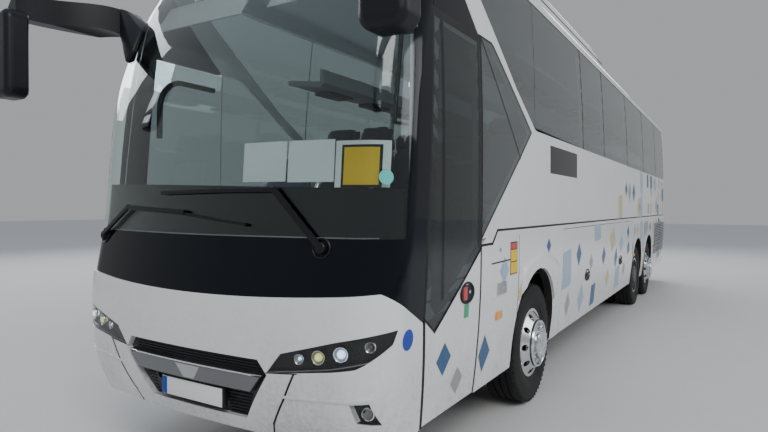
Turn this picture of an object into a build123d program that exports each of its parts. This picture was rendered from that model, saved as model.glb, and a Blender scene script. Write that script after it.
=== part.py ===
from build123d import *
from math import cos, radians, sin, sqrt
import os

os.makedirs("parts", exist_ok=True)

# A three-axle high-deck touring coach. Lengths are in mm. The nose points to -Y and the coach's left is +X.
# d is a distance behind the nose, and z is a height above the ground.

# Body envelope
BODY_LENGTH = 13103
HALF_WIDTH = 1275
ROOF_Z = 3730
EAVES_Z = 3650
SKIRT_Z = 430
TUCK_Z = 1350
TUCK_RADIUS = 7080
TUMBLE_Z = 2000
TUMBLE_RADIUS = 16540
SHOULDER_RADIUS = 130
WALL = 50
GLASS = 12
GAP = 6
SEAT_GAP = 0.3
REAR_CORNER_RADIUS = 190
REAR_TOP_RADIUS = 320
REAR_RAKE = 110

# Running gear
FRONT_AXLE_D = 2775
DRIVE_AXLE_D = 8835
TAG_AXLE_D = 10305
TYRE_RADIUS = 522
TYRE_WIDTH = 295
TYRE_SHOULDER = 30
RIM_RADIUS = 286
RIM_WIDTH = 229
RIM_FLANGE = 13
RIM_WALL = 10
DISC_OFFSET = 175
DISC_THICKNESS = 14
DISC_FACE_RADIUS = 212
HAND_HOLES = 10
HAND_HOLE_RADIUS = 27
HAND_HOLE_PITCH_RADIUS = 244
HUB_RADIUS = 134
HUB_BORE_RADIUS = 48
HUB_INNER_X = 905
WHEEL_X = 1090
TWIN_SPACING = 335
BEARING_GAP = 0.3
DIFFERENTIAL_RADIUS = 200
KINGPIN_X = 820
KINGPIN_RADIUS = 28
STUB_END_X = 1230
ARCH_RADIUS = 585
ARCH_Z = 600
LINER_TOP_Z = 1130
LINER_HALF_LENGTH = 700
LINER_INNER_X = 528
REAR_LINER_HALF_LENGTH = 640
REAR_LINER_INNER_X = 560
LINER_WALL = 8
AXLE_HOLE_RADIUS = 130

# Mirrors reach furthest forward, so they set where the nose lies along Y.
MIRROR_LEAD = 300
NOSE_Y = -(BODY_LENGTH + MIRROR_LEAD) / 2 + MIRROR_LEAD

# Front plan sections: height, set-back of the nose, radius of the nose's plan arc
FASCIA_LEVELS = (
    (380, 150, 7000),
    (600, 50, 7000),
    (800, 12, 7000),
    (1080, 0, 6500),
    (1240, 10, 6000),
    (1400, 62, 5200),
)
SCREEN_LEVELS = (
    (900, 40, 5000),
    (1550, 68, 5000),
    (2050, 118, 5000),
    (2500, 180, 5000),
    (2900, 310, 5000),
    (3200, 458, 5000),
    (3480, 640, 5000),
    (3780, 960, 5000),
)
NOSE_CORNER_RADIUS = 300
NOSE_BACK_D = 2400

# Front outlines
DOOR_FRONT = ((650, SKIRT_Z), (585, 1070), (725, 2890))
DOOR_REAR_D = 1445
DOOR_TOP_Z = 2885
DOOR_BOTTOM_Z = 442
HOOD_CENTRE_Z = 1215
HOOD_SIDE_Z = 1290
HOOD_FALL = (190, 1290)
VEE_LOW = (740, 984)
BELT_Z = 2382
SCREEN_LOW_Z = 1550
SCREEN_EDGE = ((455, 1550), (600, 2880), (660, 3500))
BAND_FRONT = ((1706, 2881), (1652, 2900), (1400, 2900), (1228, 3051), (735, 3500))
BAND_REAR = ((995, 3500), (1492, 3149), (2189, 2657), (2640, 2400), (2700, 2382))
BAND_TIP = (2560, 2350)
WINDOW_TOP_Z = 3500
PANE_EDGES = (2640, 4490, 5700, 7560, 9400, 11250, 12880)
PILLAR_WIDTH = 60
GRILLE_OUTLINE = ((-545, 885), (-605, 805), (-410, 520), (410, 520), (605, 805), (545, 885))
GRILLE_DEPTH = 60
BAR_OUTLINE = ((-570, 800), (-480, 690), (480, 690), (570, 800))
LAMP_OUTLINE = ((600, 815), (700, 935), (1040, 1030), (1420, 1110), (1420, 1040), (1180, 900), (1000, 870))
LAMP_END_D = 560
FOG_OUTLINE = ((1085, 705), (1168, 706), (1195, 575), (1105, 600))

# Side lower body
RAIL_Z = 1505
FLAP_EDGES = ((3630, 5900), (5906, 8120))
FLAP_ZONE = (FLAP_EDGES[0][0] - GAP, FLAP_EDGES[1][1] + GAP)
REAR_SEAM_D = 12880
CORNER_BLEND = 2
FRONT_D = -300
GRILLE_WALL = 20
WIDE = 1400
SIDE_REACH = (900, 1500)

# Side outlines, as (d, z) points
BAND_FOOT_Z = 1507
WAIST = (
    (DOOR_REAR_D + GAP, RAIL_Z), (DOOR_REAR_D + GAP, BAND_FOOT_Z), BAND_TIP, *BAND_FRONT, *BAND_REAR,
    (REAR_SEAM_D, BELT_Z), (REAR_SEAM_D, RAIL_Z),
)
LOWER = (
    (DOOR_REAR_D + GAP, SKIRT_Z), (FLAP_ZONE[0], SKIRT_Z), (FLAP_ZONE[0], RAIL_Z - SEAT_GAP),
    (1530, RAIL_Z - SEAT_GAP), (DOOR_REAR_D + GAP, 1451),
)
REAR_LOWER = (
    (FLAP_ZONE[1], SKIRT_Z), (REAR_SEAM_D, SKIRT_Z), (REAR_SEAM_D, RAIL_Z - SEAT_GAP),
    (FLAP_ZONE[1], RAIL_Z - SEAT_GAP),
)
DRIVER_PANEL = (
    (656, SKIRT_Z), (DOOR_REAR_D, SKIRT_Z), (DOOR_REAR_D, 1441), VEE_LOW, (597, 1085), (597, 1070),
)
OVER_DOOR = ((731, DOOR_TOP_Z + GAP), (1396, DOOR_TOP_Z + GAP), (1224, 3051), (745, 3489))
PANE_Z = (BELT_Z + 3, WINDOW_TOP_Z - 3)
FIRST_PANE = (
    (1003, PANE_Z[1]), (1496, 3153), (2193, 2661), (2640, 2405), (PANE_EDGES[1] - 4, PANE_Z[0]),
    (PANE_EDGES[1] - 4, PANE_Z[1]),
)
TRIANGLE = (
    (DOOR_REAR_D + GAP, BAND_FOOT_Z), BAND_TIP, *BAND_FRONT[:2], (DOOR_REAR_D + GAP, BAND_FRONT[1][1]),
)
CAB_PANE = ((603, 1092), VEE_LOW, (1439, 1449), (1439, DOOR_TOP_Z), (731, DOOR_TOP_Z))
DOOR_PANEL = (
    (657, DOOR_BOTTOM_Z), (1439, DOOR_BOTTOM_Z), (1439, 1437), VEE_LOW, (597, 1085), (591, 1070),
)
DOOR_GLASS = ((603, 1092), VEE_LOW, (1439, 1443), (1439, DOOR_TOP_Z), (731, DOOR_TOP_Z))
DOOR_HOLE = ((680, 1150), (740, 1090), (1370, 1490), (1370, DOOR_TOP_Z - 80), (800, DOOR_TOP_Z - 80))

# Rear outlines, as (x, z) points
REAR_BUMPER_Z = 900
REAR_WINDOW = ((-950, 2420), (950, 2420), (900, 3260), (-900, 3260))
REAR_HATCH = ((-850, 960), (850, 960), (850, 2250), (-850, 2250))
HATCH_LEAF = ((-844, 966), (844, 966), (844, 2250 - SEAT_GAP), (-844, 2250 - SEAT_GAP))
TAIL_LAMP = ((960, 1000), (1180, 1000), (1180, 1750), (1040, 1750))
TAIL_D = (BODY_LENGTH - 400, BODY_LENGTH + 50)

# Roof fairing: where its front foot, crest, end of crest and rear foot lie
FAIRING_D = (1650, 2300, 4600, 5900)
FAIRING_HALF = 1130
FAIRING_SIDE_Z = 3800
FAIRING_TOP_Z = 3870
FAIRING_FOOT_Z = ROOF_Z + 15

# Door linkage
DOOR_COLUMN_X = 1100
DOOR_COLUMN_D = 770
DOOR_PIVOT_X = 1145
DOOR_PIVOT_D = 1310
DOOR_ARM_Z = (960, 2050)
DOOR_PIN_RADIUS = 8
DOOR_COLUMN_RADIUS = 20
ARM_THICKNESS = 30
DOOR_COLUMN_TOP_Z = 2780

# Cabin
SEAT_ROWS = 12
SEAT_PITCH = 800
SEAT_START_D = 2300
SEAT_X = (285, 1165)
SEAT_PROFILE = (
    (0, 300), (20, 440), (430, 400), (560, 1150), (650, 1160), (560, 330), (480, 290), (420, 0), (340, 0),
    (340, 280),
)
DRIVER_SEAT_X = (-880, -380)
DRIVER_SEAT_D = 1050
STEERING_X = -620
STEERING_D = 760
STEERING_Z = 1720
STEERING_RADIUS = 225
COLUMN_LENGTH = 700
DASH_SECTION = ((120, 1000.3), (520, 1000.3), (520, 1450), (420, 1500), (120, 1500))
RACK_SECTION = ((1300, 2980), (800, 2900), (740, 2940), (760, 3080), (790, 3080), (785, 2960), (1300, 3020))
RACK_END_D = 12500

# Mirrors: the head, and the arm's outline seen from the front and from above
MIRROR_X = (1400, 1640)
MIRROR_Z = (2450, 3050)
MIRROR_DEPTH = 150
ARM_FRONT = ((1140, 3150), (1430, 3195), (1605, 3010), (1440, 3010), (1310, 3040), (1140, 2900))
ARM_PLAN = ((1300, 640), (1490, 260), (1575, -210), (1465, -210), (1390, 170), (1180, 440))

# Floors and underframe
PLATFORM_Z = 1000
PLATFORM_END_D = 1900
DECK_Z = 1420
DECK_THICKNESS = 40
BAY_FLOOR_Z = 540
BAY_FLOOR_THICKNESS = 30
STEP_X = (1165, 880, 620, 360)
STEP_Z = (440, 720, PLATFORM_Z)
STEP_WALL = 25
STEP_D = (640, 1440)
PLATFORM_START_D = 450
DECK_END_D = 12850
AISLE_STEP_HALF = 260
AISLE_STEP_D = (1640, 1880)
AISLE_STEP_RISE = 210
RAIL_HALF_SPACING = 400
RAIL_HALF_WIDTH = 35
FRAME_Z = 640
FRAME_ENDS_D = (600, 12700)
BAY_D = (3500, 8150)
PLATE = 20
CROSS_MEMBERS_D = (620, 1950, 3300, 8200, 9540, 11050, 12640)
PLATFORM_POST_D = 1500
DECK_POSTS_D = (2000, 8200, 11100, 12500)
MEMBER = 60
TOW_X = -330
TOW_Z = 655
TOW_D = (112, 620)
TOW_BAR_RADIUS = 36
TOW_BORE_RADIUS = 20
TOW_BORE_LENGTH = 120
ENGINE_HALF = 330
ENGINE_D = (11300, 12500)
ENGINE_Z = (460, 1200)
ENGINE_MOUNTS_D = (11500, 12200)


def y_at(d):
    """Y of a point d behind the nose."""
    return NOSE_Y + d


def half_width(z):
    """Half the body's width at height z: a tucked skirt, an upright waist and a leaning window band."""
    if z < TUCK_Z:
        return HALF_WIDTH - (TUCK_RADIUS - sqrt(TUCK_RADIUS**2 - (TUCK_Z - z) ** 2))
    if z < TUMBLE_Z:
        return HALF_WIDTH
    return HALF_WIDTH - (TUMBLE_RADIUS - sqrt(TUMBLE_RADIUS**2 - (z - TUMBLE_Z) ** 2))


def body_solid(inset, low_z=SKIRT_Z):
    """The body from the nose to the tail, with every outer surface moved in by inset."""
    eaves = EAVES_Z - inset
    points = [(half_width(z) - inset, z) for z in (low_z, (low_z + TUCK_Z) / 2, TUCK_Z, TUMBLE_Z)]
    points += [(half_width(z) - inset, z) for z in ((TUMBLE_Z + eaves) / 2, eaves)]
    low, low_mid, tuck, tumble, high_mid, high = points
    tail = BODY_LENGTH - inset
    with BuildPart() as body:
        with BuildSketch(Plane.XZ.offset(-y_at(0))):
            with BuildLine():
                ThreePointArc(low, low_mid, tuck)
                Line(tuck, tumble)
                ThreePointArc(tumble, high_mid, high)
                ThreePointArc(high, (0, ROOF_Z - inset), (-high[0], high[1]))
                ThreePointArc((-high[0], high[1]), (-high_mid[0], high_mid[1]), (-tumble[0], tumble[1]))
                Line((-tumble[0], tumble[1]), (-tuck[0], tuck[1]))
                ThreePointArc((-tuck[0], tuck[1]), (-low_mid[0], low_mid[1]), (-low[0], low[1]))
                Line((-low[0], low[1]), low)
            make_face()
            shoulders = [v for v in vertices() if abs(v.Y - eaves) < 1]
            fillet(shoulders, SHOULDER_RADIUS - inset)
        extrude(amount=-tail)
        with BuildSketch(Plane.XY):
            with Locations((0, y_at(tail / 2))):
                Rectangle(2 * (HALF_WIDTH + 1 - inset), tail)
            corners = [v for v in vertices() if v.Y > y_at(tail - 1)]
            fillet(corners, REAR_CORNER_RADIUS - inset)
        extrude(amount=ROOF_Z + 200, mode=Mode.INTERSECT)
        with BuildSketch(Plane.YZ.offset(-HALF_WIDTH - 300)):
            with BuildLine():
                Polyline(
                    (y_at(-400), low_z - 10), (y_at(tail), low_z - 10), (y_at(tail), TUCK_Z),
                    (y_at(tail - REAR_RAKE), ROOF_Z - inset), (y_at(-400), ROOF_Z - inset), close=True,
                )
            make_face()
            crest = vertices().group_by(Axis.Y)[-1].sort_by(Axis.X)[-1]
            fillet(crest, REAR_TOP_RADIUS - inset)
        extrude(amount=2 * HALF_WIDTH + 600, mode=Mode.INTERSECT)
    return body.part


def nose_solid(levels, inset, widen=0):
    """The body's front end lofted through plan sections of one nose arc and two corner arcs."""
    corner = NOSE_CORNER_RADIUS - inset
    back = y_at(NOSE_BACK_D)
    with BuildPart() as nose:
        for z, set_back, radius in levels:
            half = half_width(z) + widen - inset
            front = y_at(set_back + inset)
            turn_x = half - corner
            turn_y = front + radius - sqrt((radius - corner) ** 2 - turn_x**2)
            join_x = turn_x * radius / (radius - corner)
            join_y = front + radius - sqrt(radius**2 - join_x**2)
            lean = (sqrt(0.5), -sqrt(0.5))
            mid = (turn_x + corner * lean[0], turn_y + corner * lean[1])
            with BuildSketch(Plane.XY.offset(z)):
                with BuildLine():
                    Line((half, back), (half, turn_y))
                    ThreePointArc((half, turn_y), mid, (join_x, join_y))
                    ThreePointArc((join_x, join_y), (0, front), (-join_x, join_y))
                    ThreePointArc((-join_x, join_y), (-mid[0], mid[1]), (-half, turn_y))
                    Line((-half, turn_y), (-half, back))
                    Line((-half, back), (half, back))
                make_face()
        loft()
    return nose.part


def side_prism(points, side):
    """A prism across a side wall, from an outline of (d, z) points. side is 1 on the left, -1 on the right."""
    with BuildPart() as prism:
        with BuildSketch(Plane.YZ.offset(side * SIDE_REACH[0])):
            with BuildLine():
                Polyline(*[(y_at(d), z) for d, z in points], close=True)
            make_face()
        extrude(amount=side * (SIDE_REACH[1] - SIDE_REACH[0]))
    return prism.part


def cross_prism(points):
    """A prism across the whole width, from an outline of (d, z) points."""
    with BuildPart() as prism:
        with BuildSketch(Plane.YZ.offset(-WIDE)):
            with BuildLine():
                Polyline(*[(y_at(d), z) for d, z in points], close=True)
            make_face()
        extrude(amount=2 * WIDE)
    return prism.part


def long_prism(points, d_from=-400, d_to=NOSE_BACK_D):
    """A prism along the coach, from an outline of (x, z) points."""
    with BuildPart() as prism:
        with BuildSketch(Plane.XZ.offset(-y_at(d_from))):
            with BuildLine():
                Polyline(*points, close=True)
            make_face()
        extrude(amount=-(d_to - d_from))
    return prism.part


def mirrored(points):
    """The same outline on the other side of the centre line."""
    return [(-x, z) for x, z in points]


def block(x, d, z):
    """A box between two corners, given as (low, high) pairs of x, d and z."""
    with BuildPart() as box:
        with Locations(((x[0] + x[1]) / 2, y_at((d[0] + d[1]) / 2), (z[0] + z[1]) / 2)):
            Box(x[1] - x[0], d[1] - d[0], z[1] - z[0])
    return box.part


def save(name, part):
    """Labels a finished piece and writes it under its own name."""
    part.label = name
    export_step(part, f"parts/{name}.step")


def fronted(solid, inset):
    """A body solid with its upper front corners rounded to the windscreen's form."""
    with BuildPart() as upper:
        add(block((-WIDE, WIDE), (2 * FRONT_D, 1500), (2620, 3900)))
        add(nose_solid(SCREEN_LEVELS[3:], inset, widen=CORNER_BLEND), mode=Mode.SUBTRACT)
    with BuildPart() as part:
        add(solid)
        add(upper.part, mode=Mode.SUBTRACT)
    return part.part


BODY = fronted(body_solid(0), 0)
BODY_GLASS_BACK = fronted(body_solid(GLASS, SKIRT_Z - 60), GLASS)
BODY_INSIDE = fronted(body_solid(WALL, SKIRT_Z - 60), WALL)
CABIN = body_solid(WALL + SEAT_GAP, SKIRT_Z - 60)
FASCIA = nose_solid(FASCIA_LEVELS, 0)
FASCIA_INSIDE = nose_solid(FASCIA_LEVELS, WALL)
SCREEN = nose_solid(SCREEN_LEVELS, 0)
SCREEN_BACK = nose_solid(SCREEN_LEVELS, GLASS)
SCREEN_INSIDE = nose_solid(SCREEN_LEVELS, WALL)

# Regions of the front, ahead of the door's front edge
with BuildPart() as cap:
    ahead_of_door = ((FRONT_D, SKIRT_Z), *DOOR_FRONT, (735, WINDOW_TOP_Z), (FRONT_D, WINDOW_TOP_Z))
    add(cross_prism(ahead_of_door))
    add(block((-900, 900), (FRONT_D, 1400), (3200, WINDOW_TOP_Z)))
cap_region = cap.part
screen_region = cross_prism(((FRONT_D, SCREEN_LOW_Z), *SCREEN_EDGE, (FRONT_D, WINDOW_TOP_Z)))
with BuildPart() as below_hood:
    with BuildSketch(Plane.XZ.offset(-y_at(FRONT_D))):
        with BuildLine():
            Line((-WIDE, SKIRT_Z), (WIDE, SKIRT_Z))
            Line((WIDE, SKIRT_Z), (WIDE, HOOD_SIDE_Z))
            ThreePointArc((WIDE, HOOD_SIDE_Z), (0, HOOD_CENTRE_Z), (-WIDE, HOOD_SIDE_Z))
            Line((-WIDE, HOOD_SIDE_Z), (-WIDE, SKIRT_Z))
        make_face()
    extrude(amount=-NOSE_BACK_D)
    add(
        cross_prism(((FRONT_D, SKIRT_Z), (VEE_LOW[0], SKIRT_Z), VEE_LOW, HOOD_FALL, (FRONT_D, HOOD_FALL[1]))),
        mode=Mode.INTERSECT,
    )

LAMP_OUTLINES = (LAMP_OUTLINE, mirrored(LAMP_OUTLINE), FOG_OUTLINE, mirrored(FOG_OUTLINE))

with BuildPart() as front_fascia:
    add(FASCIA)
    add(cap_region, mode=Mode.INTERSECT)
    add(below_hood.part, mode=Mode.INTERSECT)
    add(FASCIA_INSIDE, mode=Mode.SUBTRACT)
    add(long_prism(GRILLE_OUTLINE, d_to=400), mode=Mode.SUBTRACT)
    for outline in LAMP_OUTLINES:
        add(long_prism(outline, d_to=LAMP_END_D), mode=Mode.SUBTRACT)
save("front_fascia", front_fascia.part)

with BuildPart() as front_lamps:
    for outline in LAMP_OUTLINES:
        add(long_prism(outline, d_to=LAMP_END_D))
    add(FASCIA, mode=Mode.INTERSECT)
    add(cap_region, mode=Mode.INTERSECT)
    add(below_hood.part, mode=Mode.INTERSECT)
    add(FASCIA_INSIDE, mode=Mode.SUBTRACT)
save("front_lamps", front_lamps.part)

# The grille's back panel with the bar that stands out of it, and a round way in to the towing socket
grille_face = nose_solid(FASCIA_LEVELS, GRILLE_DEPTH - GRILLE_WALL)
with BuildPart() as grille_bar:
    add(long_prism(BAR_OUTLINE, d_to=400))
    add(FASCIA, mode=Mode.INTERSECT)
    add(grille_face, mode=Mode.SUBTRACT)
with BuildPart() as grille_insert:
    add(long_prism(GRILLE_OUTLINE, d_to=400))
    add(grille_face, mode=Mode.INTERSECT)
    add(nose_solid(FASCIA_LEVELS, GRILLE_DEPTH), mode=Mode.SUBTRACT)
    add(grille_bar.part)
    with BuildSketch(Plane.XZ.offset(-y_at(0))):
        with Locations((TOW_X, TOW_Z)):
            Circle(TOW_BORE_RADIUS + GAP)
    extrude(amount=-400, mode=Mode.SUBTRACT)
save("grille_insert", grille_insert.part)

# Black mask: the panel under the windscreen, the pillars beside it and the panels over the doorway
with BuildPart() as windscreen_mask:
    add(SCREEN)
    add(cap_region, mode=Mode.INTERSECT)
    add(below_hood.part, mode=Mode.SUBTRACT)
    add(screen_region, mode=Mode.SUBTRACT)
    add(SCREEN_INSIDE, mode=Mode.SUBTRACT)
with BuildPart() as over_doors:
    for side in (1, -1):
        add(side_prism(OVER_DOOR, side))
    add(BODY, mode=Mode.INTERSECT)
    add(BODY_INSIDE, mode=Mode.SUBTRACT)
save("windscreen_mask", Compound(children=[*windscreen_mask.part.solids(), *over_doors.part.solids()]))

with BuildPart() as windscreen:
    add(SCREEN)
    add(cap_region, mode=Mode.INTERSECT)
    add(screen_region, mode=Mode.INTERSECT)
    add(SCREEN_BACK, mode=Mode.SUBTRACT)
save("windscreen", windscreen.part)



def arches(side):
    """The wheel arch cut-outs through one side."""
    with BuildPart() as cuts:
        for axle in (FRONT_AXLE_D, DRIVE_AXLE_D, TAG_AXLE_D):
            with BuildSketch(Plane.YZ.offset(side * SIDE_REACH[0])):
                with Locations((y_at(axle), ARCH_Z)):
                    Circle(ARCH_RADIUS)
                with Locations((y_at(axle), ARCH_Z - 200)):
                    Rectangle(2 * ARCH_RADIUS - 20, 400)
            extrude(amount=side * (SIDE_REACH[1] - SIDE_REACH[0]))
    return cuts.part


def shell(outer, inner, *regions):
    """What lies between two body surfaces, in any of the given regions."""
    with BuildPart() as part:
        for region in regions:
            add(region)
        add(outer, mode=Mode.INTERSECT)
        add(inner, mode=Mode.SUBTRACT)
    return part.part


# Side walls: the waist with its slanted band and window pillars, and the lower panels round the arches
walls = []
for side in (1, -1):
    with BuildPart() as waist:
        add(shell(BODY, BODY_INSIDE, side_prism(WAIST, side)))
        for edge in (*PANE_EDGES[1:-1], REAR_SEAM_D - PILLAR_WIDTH / 2):
            strip = ((edge - PILLAR_WIDTH / 2, BELT_Z - 1), (edge + PILLAR_WIDTH / 2, BELT_Z - 1))
            top = ((edge + PILLAR_WIDTH / 2, WINDOW_TOP_Z), (edge - PILLAR_WIDTH / 2, WINDOW_TOP_Z))
            add(shell(BODY_GLASS_BACK, BODY_INSIDE, side_prism((*strip, *top), side)))
    walls += waist.part.solids()
    for outline in (LOWER, REAR_LOWER):
        with BuildPart() as lower:
            add(shell(BODY, BODY_INSIDE, side_prism(outline, side)))
            add(arches(side), mode=Mode.SUBTRACT)
        walls += lower.part.solids()
walls += shell(BODY, BODY_INSIDE, side_prism(DRIVER_PANEL, -1)).solids()
save("side_walls", Compound(children=walls))

# Bonded side glass: a slanted first pane, the long panes behind it and the triangle behind the doorway
panes = []
for side in (1, -1):
    panes += shell(BODY, BODY_GLASS_BACK, side_prism(FIRST_PANE, side)).solids()
    panes += shell(BODY, BODY_GLASS_BACK, side_prism(TRIANGLE, side)).solids()
    for start, end in zip(PANE_EDGES[1:-1], PANE_EDGES[2:]):
        outline = ((start + 4, PANE_Z[0]), (end - 4, PANE_Z[0]), (end - 4, PANE_Z[1]), (start + 4, PANE_Z[1]))
        panes += shell(BODY, BODY_GLASS_BACK, side_prism(outline, side)).solids()
panes += shell(BODY, BODY_GLASS_BACK, side_prism(CAB_PANE, -1)).solids()
panes += shell(BODY, BODY_GLASS_BACK, long_prism(REAR_WINDOW, *TAIL_D)).solids()
save("window_glass", Compound(children=panes))

# Roof with its rounded front, and the low fairing on top
with BuildPart() as roof:
    add(block((-WIDE, WIDE), (FRONT_D, TAIL_D[1]), (WINDOW_TOP_Z, 3900)))
    add(BODY, mode=Mode.INTERSECT)
    add(BODY_INSIDE, mode=Mode.SUBTRACT)
save("roof", roof.part)

with BuildPart() as roof_fairing:
    with BuildSketch(Plane.XZ.offset(-y_at(FAIRING_D[0]))):
        with BuildLine():
            Line((-FAIRING_HALF, 3600), (FAIRING_HALF, 3600))
            Line((FAIRING_HALF, 3600), (FAIRING_HALF, FAIRING_SIDE_Z))
            ThreePointArc((FAIRING_HALF, FAIRING_SIDE_Z), (0, FAIRING_TOP_Z), (-FAIRING_HALF, FAIRING_SIDE_Z))
            Line((-FAIRING_HALF, FAIRING_SIDE_Z), (-FAIRING_HALF, 3600))
        make_face()
        fillet([v for v in vertices() if v.Y > 3700], 50)
    extrude(amount=-(FAIRING_D[3] - FAIRING_D[0]))
    add(
        cross_prism(
            (
                (FAIRING_D[0], EAVES_Z), (FAIRING_D[0], FAIRING_FOOT_Z), (FAIRING_D[1], FAIRING_TOP_Z + 10),
                (FAIRING_D[2], FAIRING_TOP_Z + 10), (FAIRING_D[3], FAIRING_FOOT_Z), (FAIRING_D[3], EAVES_Z),
            )
        ),
        mode=Mode.INTERSECT,
    )
    add(body_solid(-SEAT_GAP), mode=Mode.SUBTRACT)
save("roof_fairing", roof_fairing.part)

# Rear end
with BuildPart() as rear_wall:
    add(block((-WIDE, WIDE), (REAR_SEAM_D + SEAT_GAP, TAIL_D[1]), (REAR_BUMPER_Z + SEAT_GAP, WINDOW_TOP_Z)))
    add(BODY, mode=Mode.INTERSECT)
    add(BODY_INSIDE, mode=Mode.SUBTRACT)
    for outline in (REAR_WINDOW, REAR_HATCH, TAIL_LAMP, mirrored(TAIL_LAMP)):
        add(long_prism(outline, *TAIL_D), mode=Mode.SUBTRACT)
save("rear_wall", rear_wall.part)

with BuildPart() as rear_bumper:
    add(block((-WIDE, WIDE), (REAR_SEAM_D + SEAT_GAP, TAIL_D[1]), (SKIRT_Z, REAR_BUMPER_Z)))
    add(BODY, mode=Mode.INTERSECT)
    add(BODY_INSIDE, mode=Mode.SUBTRACT)
save("rear_bumper", rear_bumper.part)

lamp_cuts = [long_prism(outline, *TAIL_D) for outline in (TAIL_LAMP, mirrored(TAIL_LAMP))]
save("tail_lamps", shell(BODY, BODY_INSIDE, *lamp_cuts))
save("engine_hatch", shell(BODY, BODY_INSIDE, long_prism(HATCH_LEAF, *TAIL_D)))

# Plug door: a lower panel with the frame round its glass, the glass, and the column with its two arms
with BuildPart() as glass_frame:
    add(shell(BODY_GLASS_BACK, BODY_INSIDE, side_prism(DOOR_GLASS, 1)))
    add(side_prism(DOOR_HOLE, 1), mode=Mode.SUBTRACT)
with BuildPart() as door_leaf:
    add(shell(BODY, BODY_INSIDE, side_prism(DOOR_PANEL, 1)))
    add(glass_frame.part)
    for z in DOOR_ARM_Z:
        bracket_z = (z - 45, z - ARM_THICKNESS / 2 - SEAT_GAP)
        add(block((DOOR_PIVOT_X - 16, 1232), (DOOR_PIVOT_D - 20, DOOR_REAR_D - 45), bracket_z))
        with Locations((DOOR_PIVOT_X, y_at(DOOR_PIVOT_D), z)):
            Cylinder(DOOR_PIN_RADIUS, 60)
save("door_leaf", door_leaf.part)
save("door_glass", shell(BODY, BODY_GLASS_BACK, side_prism(DOOR_GLASS, 1)))

with BuildPart() as door_arm:
    with Locations((DOOR_COLUMN_X, y_at(DOOR_COLUMN_D), (STEP_Z[0] + SEAT_GAP + DOOR_COLUMN_TOP_Z) / 2)):
        Cylinder(DOOR_COLUMN_RADIUS, DOOR_COLUMN_TOP_Z - STEP_Z[0] - SEAT_GAP)
    for z in DOOR_ARM_Z:
        with BuildSketch(Plane.XY.offset(z - ARM_THICKNESS / 2)):
            with BuildLine():
                Polyline(
                    (DOOR_COLUMN_X - 16, y_at(DOOR_COLUMN_D)), (DOOR_COLUMN_X + 16, y_at(DOOR_COLUMN_D)),
                    (DOOR_PIVOT_X + 14, y_at(DOOR_PIVOT_D)), (DOOR_PIVOT_X - 14, y_at(DOOR_PIVOT_D)),
                    close=True,
                )
            make_face()
            with Locations((DOOR_PIVOT_X, y_at(DOOR_PIVOT_D))):
                Circle(16)
        extrude(amount=ARM_THICKNESS)
        with Locations((DOOR_PIVOT_X, y_at(DOOR_PIVOT_D), z)):
            Cylinder(DOOR_PIN_RADIUS + BEARING_GAP, 80, mode=Mode.SUBTRACT)
save("door_arm", door_arm.part)

# Luggage flaps, hinged along their top edges
for row, (start, end) in enumerate(FLAP_EDGES):
    outline = ((start, SKIRT_Z + 6), (end, SKIRT_Z + 6), (end, RAIL_Z - GAP), (start, RAIL_Z - GAP))
    for side, word in ((1, "left"), (-1, "right")):
        save(f"flap_{word}_{row + 1}", shell(BODY, BODY_INSIDE, side_prism(outline, side)))

# Floors, steps and underframe
floor_half = half_width(DECK_Z - DECK_THICKNESS) - WALL - SEAT_GAP
platform_half = half_width(PLATFORM_Z - DECK_THICKNESS) - WALL - SEAT_GAP
with BuildPart() as floor_deck:
    slab = (PLATFORM_Z - DECK_THICKNESS, PLATFORM_Z)
    add(block((-floor_half, floor_half), (PLATFORM_END_D, DECK_END_D), (DECK_Z - DECK_THICKNESS, DECK_Z)))
    add(block((-platform_half, STEP_X[3]), (PLATFORM_START_D, PLATFORM_END_D), slab))
    add(block((STEP_X[3], platform_half), (STEP_D[1], PLATFORM_END_D), slab))
    add(block((-platform_half, platform_half), (PLATFORM_END_D - PLATE, PLATFORM_END_D), (slab[0], DECK_Z)))
    add(block((-AISLE_STEP_HALF, AISLE_STEP_HALF), AISLE_STEP_D, (PLATFORM_Z, PLATFORM_Z + AISLE_STEP_RISE)))
    for index, z in enumerate(STEP_Z[:-1]):
        add(block((STEP_X[index + 1], STEP_X[index]), STEP_D, (z - STEP_WALL, z)))
        riser_x = (STEP_X[index + 1] - STEP_WALL, STEP_X[index + 1])
        add(block(riser_x, STEP_D, (z - STEP_WALL, STEP_Z[index + 1])))
    add(block((STEP_X[3] - STEP_WALL, STEP_X[2]), STEP_D, (PLATFORM_Z - STEP_WALL, PLATFORM_Z)))
    for d in (STEP_D[0] - STEP_WALL, STEP_D[1]):
        side_z = (STEP_Z[0] - STEP_WALL, PLATFORM_Z)
        add(block((RAIL_HALF_SPACING + 45, STEP_X[0] - PLATE), (d, d + STEP_WALL), side_z))
save("floor_deck", floor_deck.part)

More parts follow.
